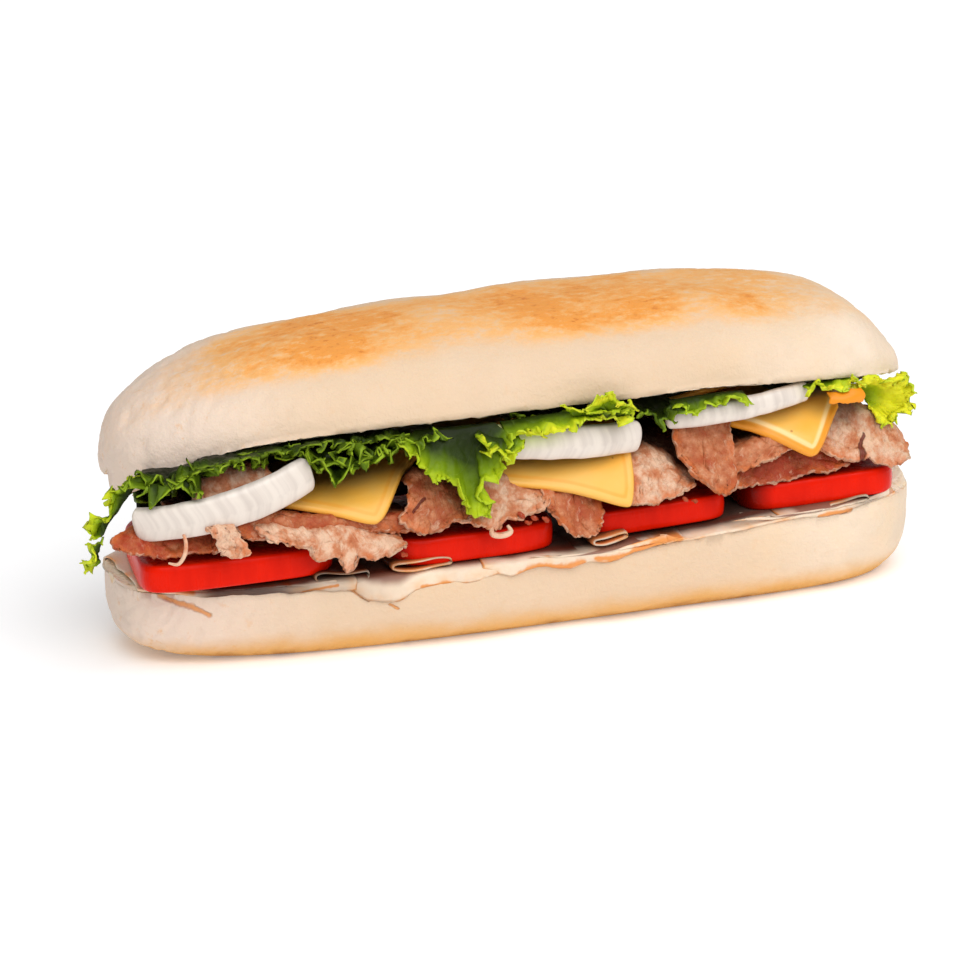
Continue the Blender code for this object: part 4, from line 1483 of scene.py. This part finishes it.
def onion_rings(number, wall):
    """Rings of points along an arc of onion, with rounded ends and a slightly barrelled wall."""
    front, base, radius, sweep, tilt, height, facing = ONION[number]
    turn = np.array(Euler([radians(angle) for angle in (*tilt, facing)]).to_matrix())
    angles = circle(ONION_RINGS[1])
    half_sweep = radians(sweep) / 2
    rings = []
    for swing in half_sweep * np.sin(np.linspace(-pi / 2, pi / 2, ONION_RINGS[0])):
        left = max(0.0, (half_sweep - abs(swing)) * radius)
        share = np.sqrt(1 - (1 - min(1.0, left / 1.8)) ** 2) * 0.9 + 0.1
        tall = height / 2 * share * (1 + 0.05 * sin(3 * swing + number))
        out = radius - wall / 2 + wall / 2 * share * signed_power(np.cos(angles), 0.55)
        up = tall * signed_power(np.sin(angles), 0.6)
        out = out + 0.5 * (1 - (up / (height / 2)) ** 2)
        rings.append(np.stack([out * sin(swing), -out * cos(swing), up], axis=1))
    rings = np.array(rings)
    rings += ring_normals(rings) * (0.3 * field(rings, 6, number))[..., None]
    place = np.array((*front, base)) - turn @ np.array((0, -radius, -height / 2))
    return rings @ turn.T + place


def make_onion_finish(settings):
    """Wet white layers, lined across, a little translucent."""
    material, finish, shader = new_finish(
        "Raw onion", roughness=0.3, specular=0.4, subsurface=0.15, depth=0.002, scatter=(1, 0.95, 0.9),
    )
    flat = finish.value("flat")
    place = finish.place()
    lines = finish.noise(finish.stretch(flat, (0.04, 1, 1)), 0.0022, 2, 0.5)
    wide = finish.noise(finish.stretch(flat, (0.06, 1, 1)), 0.007, 2)
    both = finish.math("ADD", finish.times(lines, 0.45), finish.times(wide, 0.55))
    flesh = finish.mix(finish.step(both, 0.34, 0.6), settings.vein, settings.flesh)
    flesh = finish.mix(finish.value("tone"), flesh, settings.green)
    finish.put(shader["Base Color"], flesh)
    height = finish.math("ADD", lines, finish.times(finish.noise(place, 0.0012, 2), 0.3))
    finish.put(shader["Normal"], finish.bump(height, 0.0003, 0.2))
    return material


class SANDWICH_OT_onion(bpy.types.Operator):
    """Make the arcs of raw onion"""

    bl_idname = "sandwich.onion"
    bl_label = "Onion"

    def execute(self, context):
        settings = context.scene.sandwich_onion
        material = make_onion_finish(settings)
        for number in ONION:
            rings = onion_rings(number, settings.wall / MM)
            green = 0.0
            if number == 2:
                green = smoothstep(8, -10, rings[..., 0]) * smoothstep(57, 62, rings[..., 2])
            shape = Shape()
            shape.tube(rings, tone=green)
            shape.piece(f"onion_arc_{number}", "onion", material)
        return {"FINISHED"}


# ---------------------------------------------------------------- lettuce

# each leaf is a few strips: (where the curling starts, how strongly it curls, how bright the strip is,
# partly the leaf's own colour and partly painted shade for strips under the crown, root rail, margin rail).
# Rails are points (x, y, z); a strip runs from its root to its margin, and curls more and more on the way.
BACK_STRIP = (0.2, 1.1, 0.0)
LETTUCE = {
    1: (
        (0.2, 0.8, -0.35,
         ((-102, -24, 64), (-96, -26, 65), (-88, -26, 66), (-76, -27, 66.6), (-62, -27, 67),
          (-46, -27, 67.4)),
         ((-108, -37, 62), (-104, -38.4, 63.4), (-98, -39, 64.6), (-88, -39.6, 65.8),
          (-77, -39.6, 66), (-64, -39.6, 65.6), (-45, -40, 66))),
        (0.15, 1.0, -0.2,
         ((-118, -20, 60), (-104, -24, 62), (-90, -26, 64), (-76, -27, 64.4), (-62, -27, 64),
          (-46, -27, 65)),
         ((-123, -33, 60.4), (-114, -38, 61), (-105, -39.4, 62.6), (-97, -39, 65), (-88, -37, 65.4),
          (-78, -37, 64.6), (-66, -41, 62.4), (-55, -41.6, 62.6), (-45, -42, 63.6))),
        (0.2, 1.0, -0.05,
         ((-118, -24, 59), (-106, -28, 61), (-92, -30, 64), (-76, -31, 62), (-62, -31, 60),
          (-47, -31, 63)),
         ((-126, -31, 60.4), (-121.5, -36.6, 59), (-115, -39.6, 58.6), (-109, -41, 59.2),
          (-103.6, -41, 63.2), (-97, -40, 65.2), (-93.8, -38.6, 63.6), (-88.8, -36.6, 65),
          (-82, -35.6, 64.2), (-76.6, -37.6, 61.6), (-72, -41.4, 59.8), (-66, -43, 59),
          (-60, -43.2, 59.6), (-56, -42.8, 61.4), (-52, -42.4, 63), (-45, -42, 64))),
        (0.15, 1.1, -0.15,
         ((-86, -28, 65), (-70, -30, 63), (-48, -30, 64)),
         ((-80, -36, 64.6), (-74, -38.6, 62.4), (-68, -41, 60.8), (-60, -42, 60.8), (-52, -41.6, 63))),
        (-0.3, 1.1, 0.7,
         ((-118, -29, 60.4), (-123, -28, 56.6), (-126, -27, 52.4), (-129, -26, 48.4),
          (-131.6, -25.6, 44)),
         ((-122, -31, 61.2), (-128.4, -28.6, 58.6), (-130, -27.4, 55), (-130.4, -27, 52),
          (-134, -26.4, 49.6), (-134.8, -26, 46), (-133, -25.6, 42.4))),
        (-0.6, 1.0, 0.8,
         ((-131.6, -25.6, 43), (-133, -25, 39.6), (-133, -25, 36)),
         ((-133.4, -25.6, 42.4), (-136.4, -25.4, 40.2), (-137.2, -25, 37.6), (-136.8, -25, 35),
          (-134.4, -24.6, 33.8))),
        (0.1, 1.0, -0.4,
         ((-116, 4, 60), (-104, 4, 63), (-88, 4, 65)),
         ((-121, -6, 48), (-104, -8, 50), (-88, -8, 52))),
        (*BACK_STRIP,
         ((-104, 20, 62), (-90, 27, 64), (-72, 29, 66), (-52, 29, 67)),
         ((-107, 33, 56), (-90, 41, 58), (-72, 44, 59), (-50, 44, 60))),
    ),
    2: (
        (0.2, 1.0, -0.1,
         ((-49, -29, 66), (-42, -30, 66.4), (-34, -31, 66.6)),
         ((-50, -40, 64.6), (-43, -41, 64), (-33, -41, 63.6))),
        (0.5, 0.62, 0.5,
         ((-40, -35, 66.6), (-29, -38, 67), (-17, -38.6, 67)),
         ((-48, -42, 64), (-43.6, -43.4, 60.4), (-40.8, -44, 56.6), (-38.7, -44.6, 53),
          (-34.8, -45.2, 52.4), (-30.6, -45.8, 48), (-27.8, -46.2, 43.6), (-25.4, -46.4, 41.6),
          (-22, -46.4, 42.4), (-22, -46.4, 45), (-23.4, -46.2, 49), (-19.8, -46, 52.4),
          (-16.4, -45.6, 55.6), (-15, -44.6, 59), (-13, -43, 63))),
        (0.15, 1.1, 0.75,
         ((-23, -41, 66), (-19, -42, 63.6), (-15, -42, 63), (-11, -41, 64)),
         ((-27, -44.6, 64), (-22.6, -46.4, 60.6), (-18, -47, 57.6), (-14, -46.4, 57.4),
          (-10.6, -45.4, 61))),
        (*BACK_STRIP,
         ((-46, 29, 66), (-30, 29, 66.5), (-14, 29, 67)),
         ((-46, 43, 58), (-30, 45, 56), (-14, 44, 59))),
    ),
    3: (
        (0.2, 0.9, -0.3,
         ((-12, -24, 66), (8, -26, 67), (26, -26, 67)),
         ((-12, -37, 65), (8, -38, 66), (26, -38, 65.4))),
        (0.3, 0.7, 0.85,
         ((-15, -37, 66.6), (-4, -38.6, 67.4), (10, -39.4, 68), (25, -38.6, 67.6)),
         ((-14.6, -44.6, 62), (-8.4, -45.4, 63.2), (-3.7, -45.8, 64.2), (2, -46, 64), (6, -46, 65.4),
          (12, -46, 65.4), (18, -45.6, 66), (24.6, -44.6, 65.6))),
        (0.0, 1.0, 0.95,
         ((6, -42.4, 66.4), (13, -44, 66.4), (19, -44, 66.4), (23, -43, 66)),
         ((3, -45.6, 69), (8, -46.4, 71), (12.8, -47.4, 73), (17.6, -47.4, 73), (21, -46.6, 71),
          (23.4, -45.6, 68))),
        (0.0, 1.0, 0.6,
         ((9, -43, 65.6), (15, -44, 65.6), (21, -44, 65.4)),
         ((8, -46, 69), (13, -47, 70.4), (18, -47, 70), (23.4, -46.4, 67))),
        (*BACK_STRIP,
         ((-12, 29, 67), (6, 29, 67.5), (25, 29, 68)),
         ((-12, 43, 61), (6, 44, 62), (25, 43, 62))),
    ),
    4: (
        (0.2, 1.0, -0.15,
         ((27, -28, 67), (33, -29, 67), (40, -30, 67)),
         ((28, -38, 63.4), (31, -39, 61.4), (34, -39.6, 60.6), (37.4, -39.8, 63), (41, -39.6, 64.6))),
        (0.2, 0.9, 0.45,
         ((38, -37, 67), (50, -38, 67.8), (61, -38.4, 67.8)),
         ((38, -42, 64.4), (46, -43, 65.6), (52, -43.6, 66.4), (57, -44, 67), (62, -43.6, 66.2))),
        (*BACK_STRIP,
         ((27, 29, 68), (39, 29, 68), (50, 29, 68)),
         ((27, 43, 62), (39, 44, 62), (51, 43, 62))),
    ),
    5: (
        (0.2, 1.0, 0.9,
         ((81, -35, 66.6), (90, -35, 67), (100, -32, 67)),
         ((81, -40.6, 66), (90, -41.4, 66.2), (100, -39.4, 65.6))),
        (0.3, 0.9, 1.7,
         ((98, -27, 62), (103, -26, 61), (107, -24, 57.4)),
         ((97, -36, 65.8), (104, -36.6, 65.4), (110, -36, 66), (115, -35, 63.6), (119.4, -33, 61),
          (120, -32, 57.6), (117, -32, 53.6), (112, -33, 50.4), (106, -34, 55))),
        (*BACK_STRIP,
         ((96, 24, 66), (108, 24, 66), (116, 14, 65)),
         ((96, 40, 60), (110, 39, 59), (121, 27, 59))),
    ),
}
LEAF_BEDS = {1: (-116, -49), 2: (-48, -14), 3: (-13, 26), 4: (27, 60), 5: (64, 117)}


def wander(along, size, seed):
    """Noise of a given spacing at the places along a line."""
    return np.array([noise.noise((value / size, seed, seed * 0.37)) for value in along])


# spacing of a leaf's folds along its margin, and of its crinkles: spacing, depth, how late they set in
BROAD_FOLD = 12
TIGHT_FOLD = 4.6
CRINKLES = ((3.4, 3.4, 2), (1.5, 1.3, 3))


def leaf_strip(start, curl, root, margin, seed):
    """A strip of leaf from its root to its margin, thrown into folds that tighten towards the margin."""
    length_of_margin = np.linalg.norm(np.diff(np.array(margin, float), axis=0), axis=1).sum()
    run = np.linspace(0, 1, int(max(LEAF_COLUMNS_LEAST, length_of_margin * LEAF_COLUMNS_PER_MM)))
    base = rail(root, run)
    tip = rail(margin, run)
    reach = tip - base
    outward = unit(reach)
    along = unit(np.gradient(base + tip, axis=0))
    face = unit(np.cross(outward, along))
    s = np.concatenate(([0], np.cumsum(np.linalg.norm(np.diff(tip, axis=0), axis=1))))
    levels = 1 - (1 - np.linspace(0, 1, LEAF_ROWS)) ** 1.5
    grow = np.clip((levels - start) / (1 - start), 0, 1)[:, None]
    broad = 2 * pi * (s / BROAD_FOLD + 0.8 * wander(s, 15, seed))
    tight = 2 * pi * (s / TIGHT_FOLD + 1.1 * wander(s, 8, seed + 3))
    size = curl * (1 + 0.9 * wander(s, 10, seed + 9))
    lift = size * (1.5 * grow * np.sin(broad) + 1.25 * grow**2 * np.sin(tight))
    aside = size * (0.7 * grow**1.5 * np.sin(2 * broad + 0.4) + 0.9 * grow**3 * np.sin(2 * tight + 0.8))
    lobe = curl * grow**3 * (1.6 * wander(s, 4.4, seed + 12) + 0.9 * wander(s, 1.7, seed + 15))
    crinkle = 0.3 * smoothstep(0, 0.4, levels)[:, None] * np.ones(len(run))
    grid = base + reach * levels[:, None, None]
    grid = grid + face * lift[..., None] + along * aside[..., None] + outward * lobe[..., None]
    for spacing, depth, power in CRINKLES:
        push = curl * depth * grow**power + crinkle
        grid = grid + jumble(grid, spacing, seed, 11) * push[..., None]
    return grid, levels


# the crown's cut edge lies over this stretch, seen from the middle
UNDER_EDGE = (-35, -39)


def keep_under_crown(grid):
    """Presses a strip down where it would rise over the crown's cut edge."""
    limit = np.array([[crown_cut(x) for x in row] for row in grid[..., 0]])
    limit += -0.2 - 0.4 * np.maximum(0, -116 - grid[..., 0])
    above = np.maximum(0, grid[..., 2] - limit)
    # the crown's edge is set back most near its left shoulder
    set_back = 5 * np.exp(-(((grid[..., 0] + 90) / 10) ** 2))
    grid[..., 2] -= 0.9 * above * smoothstep(*UNDER_EDGE, grid[..., 1] - set_back)
    return grid


def leaf_bed(left, right):
    """The flat part of a leaf, lying under the crown."""
    xs = np.linspace(left, right, 7)
    middle = (left + right) / 2
    narrow = [(1 - 0.6 * abs((x - middle) / (right - middle)) ** 3) for x in xs]
    rails = []
    for y, drop in ((-27, 1.2), (-17, 0.4), (0, 0), (17, 0.4), (27, 1.2)):
        rails.append([(x, y * share, crown_arch(x) - 1.6 - drop) for x, share in zip(xs, narrow)])
    grid = loft(rails, (0, 0.25, 0.5, 0.75, 1), spread(BED_GRID), spread(BED_GRID))
    return grid + np.array((0, 0, 1)) * (np.minimum(0, field(grid, 9, left)) * 3)[..., None]


def leaf_tuck(left, right):
    """The part of a leaf that is tucked down into the middle of the filling."""
    xs = np.linspace(max(-113, left), min(98, right), 5)
    rails = []
    for y, drop in ((9, 2), (7, 16), (10, 34)):
        rails.append([(x, y + 2 * sin(x / 9), crown_arch(x) - drop) for x in xs])
    grid = loft(rails, (0, 0.5, 1), spread(TUCK_GRID[0]), spread(TUCK_GRID[1]))
    return grid + np.array((0, 1, 0)) * (field(grid, 9, right) * 4)[..., None]


def make_lettuce_finish(settings):
    """Painted shade, near black green, towards the root under the crown; brighter towards the curled margin,
    partly with a painted highlight; pale veins.
    """
    material, finish, shader = new_finish(
        "Leaf lettuce", roughness=0.42, specular=0.12, subsurface=0.1, depth=0.0006, scatter=(0.6, 1, 0.1),
    )
    place = finish.place()
    flat = finish.value("flat")
    cloud = finish.noise(place, 0.005, 4)
    wandering = finish.times(finish.math("SUBTRACT", cloud, 0.5), 0.3)
    level = finish.times(finish.math("ADD", finish.value("tone"), wandering), 0.5)
    # from painted shade, near black, at the root to the bright curled margin
    green = finish.ramp(
        level,
        (0.12, settings.deep),
        (0.32, linear(42, 58, 6)),
        (0.45, settings.blade),
        (0.6, linear(122, 148, 14)),
        (0.75, settings.frill),
        (0.95, settings.lime),
    )
    # lighter tips at the margin: partly the leaf's paler edge, partly a painted highlight
    tip = finish.times(finish.step(finish.value("edge"), 1.5, 0.2), finish.step(level, 0.25, 0.6))
    tip = finish.times(tip, finish.step(cloud, 0.35, 0.6, 0.25, 0.75))
    green = finish.mix(tip, green, linear(176, 204, 50))
    veins = finish.step(finish.noise(finish.stretch(flat, (1, 0.2, 30)), 0.0026, 2, 0.5, 0.8), 0.66, 0.72)
    green = finish.over(green, settings.vein, veins, finish.step(level, 0.25, 0.55, 0.06, 0.35))
    finish.put(shader["Base Color"], green)
    blister = finish.math("ADD", finish.noise(place, 0.0024, 3), finish.times(veins, 0.4))
    finish.put(shader["Normal"], finish.bump(blister, 0.0005, 0.6))
    return material


class SANDWICH_OT_lettuce(bpy.types.Operator):
    """Make the frilly lettuce leaves"""

    bl_idname = "sandwich.lettuce"
    bl_label = "Lettuce"

    def execute(self, context):
        settings = context.scene.sandwich_lettuce
        material = make_lettuce_finish(settings)
        thickness = settings.thickness / MM
        for number, strips in LETTUCE.items():
            shape = Shape()
            # the bed and the tucked part have tone 0: painted shade, near black green
            shape.slab(leaf_bed(*LEAF_BEDS[number]), thickness, tone=0, layer=number, root=True)
            shape.slab(leaf_tuck(*LEAF_BEDS[number]), thickness, tone=0, layer=number + 0.5, root=True)
            for index, (start, curl, bright, root, margin) in enumerate(strips):
                seed = number * 3.7 + index * 1.9
                grid, levels = leaf_strip(start, curl * settings.curl, root, margin, seed)
                if bright < 0.9:
                    grid = keep_under_crown(grid)
                # strips under the crown (bright below 0) keep a longer stretch of painted shade from the
                # root
                ease = 1.5 if bright > 0 else 2.0
                tone = levels[:, None] ** ease * (1 + 0.5 * bright) + max(0, bright) * 0.65
                shape.slab(grid, thickness, tone=tone, layer=seed, root=True)
            shape.piece(f"lettuce_leaf_{number}", "lettuce", material)
        return {"FINISHED"}


# ---------------------------------------------------------------- studio

FLOOR_HALF = 4.0
FLOOR_GAP = 0.0002  # the floor lies this much lower than the sandwich
FLOOR_GLOW = 0.16
SKY_GLOW = 1.1
KEY_AZIMUTH = 4  # degrees, as are the next two
KEY_ELEVATION = 48
KEY_SOFTNESS = 60


class SANDWICH_OT_stage(bpy.types.Operator):
    """Set up the plain floor, the soft lights and the camera"""

    bl_idname = "sandwich.stage"
    bl_label = "Stage"

    def execute(self, context):
        settings = context.scene.sandwich_stage
        self.make_floor(settings)
        self.make_world(context.scene, settings)
        self.make_sun(settings)
        self.make_camera(context.scene, settings)
        context.scene.view_settings.view_transform = "Standard"
        return {"FINISHED"}

    def make_floor(self, settings):
        """A wide sheet of plain paper under the sandwich."""
        mesh = bpy.data.meshes.new("Floor")
        level = CAD_BOX[0][2] - FLOOR_GAP
        corners = [(x * FLOOR_HALF, y * FLOOR_HALF, level) for x, y in ((-1, -1), (1, -1), (1, 1), (-1, 1))]
        mesh.from_pydata(corners, [], [(0, 1, 2, 3)])
        material, finish, shader = new_finish("Paper", roughness=0.9, specular=0.1)
        grain = finish.patches(finish.place(), 0.3, 2, 0.3, 0.7)
        finish.put(shader["Base Color"], finish.mix(grain, settings.paper, linear(252, 252, 253)))
        shader["Emission Color"].default_value = (1, 1, 1, 1)
        shader["Emission Strength"].default_value = FLOOR_GLOW
        mesh.materials.append(material)
        floor = bpy.data.objects.new("Floor", mesh)
        bpy.context.scene.collection.objects.link(floor)

    def make_world(self, scene, settings):
        """White all round: brighter to the camera than as a light."""
        world = bpy.data.worlds.new("Studio white")
        world.use_nodes = True
        finish = Finish(world.node_tree)
        background = world.node_tree.nodes["Background"]
        background.inputs["Color"].default_value = (1, 1, 1, 1)
        seen = finish.node("ShaderNodeLightPath").outputs["Is Camera Ray"]
        strength = finish.math("ADD", settings.ambient, finish.times(seen, SKY_GLOW - settings.ambient))
        finish.put(background.inputs["Strength"], strength)
        scene.world = world

    def make_sun(self, settings):
        """A large soft light far away, so that it falls evenly on the floor."""
        light = bpy.data.lights.new("Key", "SUN")
        light.energy = settings.key
        light.angle = radians(KEY_SOFTNESS)
        lamp = bpy.data.objects.new("Key", light)
        turn = radians(KEY_AZIMUTH)
        rise = radians(KEY_ELEVATION)
        lamp.location = (sin(turn) * cos(rise), -cos(turn) * cos(rise), sin(rise))
        lamp.rotation_euler = (-lamp.location).to_track_quat("-Z", "Y").to_euler()
        bpy.context.scene.collection.objects.link(lamp)

    def make_camera(self, scene, settings):
        """A long lens to the left of the served side and a little above it."""
        camera = bpy.data.cameras.new("Camera")
        camera.lens = settings.lens
        camera.sensor_width = 36
        camera.shift_x, camera.shift_y = settings.shift
        camera.clip_start = 0.01
        back = Vector((
            sin(settings.azimuth) * cos(settings.elevation),
            -cos(settings.azimuth) * cos(settings.elevation),
            sin(settings.elevation),
        ))
        level = Vector((0, 0, 1)).cross(back).normalized()
        upward = back.cross(level)
        right = level * cos(settings.roll) - upward * sin(settings.roll)
        up = level * sin(settings.roll) + upward * cos(settings.roll)
        aim = Vector((ORIGIN[0], ORIGIN[1], ORIGIN[2] + settings.aim))
        turn = Matrix((right, up, back)).transposed().to_4x4()
        eye = bpy.data.objects.new("Camera", camera)
        eye.matrix_world = Matrix.Translation(aim + back * settings.distance) @ turn
        scene.collection.objects.link(eye)
        scene.camera = eye


# ---------------------------------------------------------------- panel and registration

SETTINGS = {
    "sandwich_bread": SandwichBreadSettings,
    "sandwich_turkey": SandwichTurkeySettings,
    "sandwich_tomato": SandwichTomatoSettings,
    "sandwich_pork": SandwichPorkSettings,
    "sandwich_cheese": SandwichCheeseSettings,
    "sandwich_onion": SandwichOnionSettings,
    "sandwich_lettuce": SandwichLettuceSettings,
    "sandwich_stage": SandwichStageSettings,
}
OPERATORS = (
    SANDWICH_OT_bread,
    SANDWICH_OT_turkey,
    SANDWICH_OT_tomato,
    SANDWICH_OT_pork,
    SANDWICH_OT_cheese,
    SANDWICH_OT_onion,
    SANDWICH_OT_lettuce,
    SANDWICH_OT_stage,
)


class SANDWICH_PT_panel(bpy.types.Panel):
    """The sandwich's settings and the buttons that make its pieces"""

    bl_idname = "SANDWICH_PT_panel"
    bl_label = "Submarine sandwich"
    bl_space_type = "VIEW_3D"
    bl_region_type = "UI"
    bl_category = "Sandwich"

    def draw(self, context):
        """A box for each operator, with its settings."""
        for (name, settings), operator in zip(SETTINGS.items(), OPERATORS):
            box = self.layout.box()
            box.operator(operator.bl_idname)
            for setting in settings.__annotations__:
                box.prop(getattr(context.scene, name), setting)


def register():
    """Registers the settings, the operators and the panel."""
    for settings in SETTINGS.values():
        bpy.utils.register_class(settings)
    for operator in OPERATORS:
        bpy.utils.register_class(operator)
    bpy.utils.register_class(SANDWICH_PT_panel)
    for name, settings in SETTINGS.items():
        setattr(bpy.types.Scene, name, PointerProperty(type=settings))


def unregister():
    """Takes back what register did, in the opposite order."""
    for name in SETTINGS:
        delattr(bpy.types.Scene, name)
    bpy.utils.unregister_class(SANDWICH_PT_panel)
    for operator in reversed(OPERATORS):
        bpy.utils.unregister_class(operator)
    for settings in reversed(list(SETTINGS.values())):
        bpy.utils.unregister_class(settings)


def main():
    """Makes the sandwich and its stage."""
    register()
    make_shade_line_group()
    make_mottle_group()
    make_deep_shade_group()
    for operator in OPERATORS:
        getattr(bpy.ops.sandwich, operator.bl_idname.split(".")[1])()


if __name__ == "__main__":
    main()
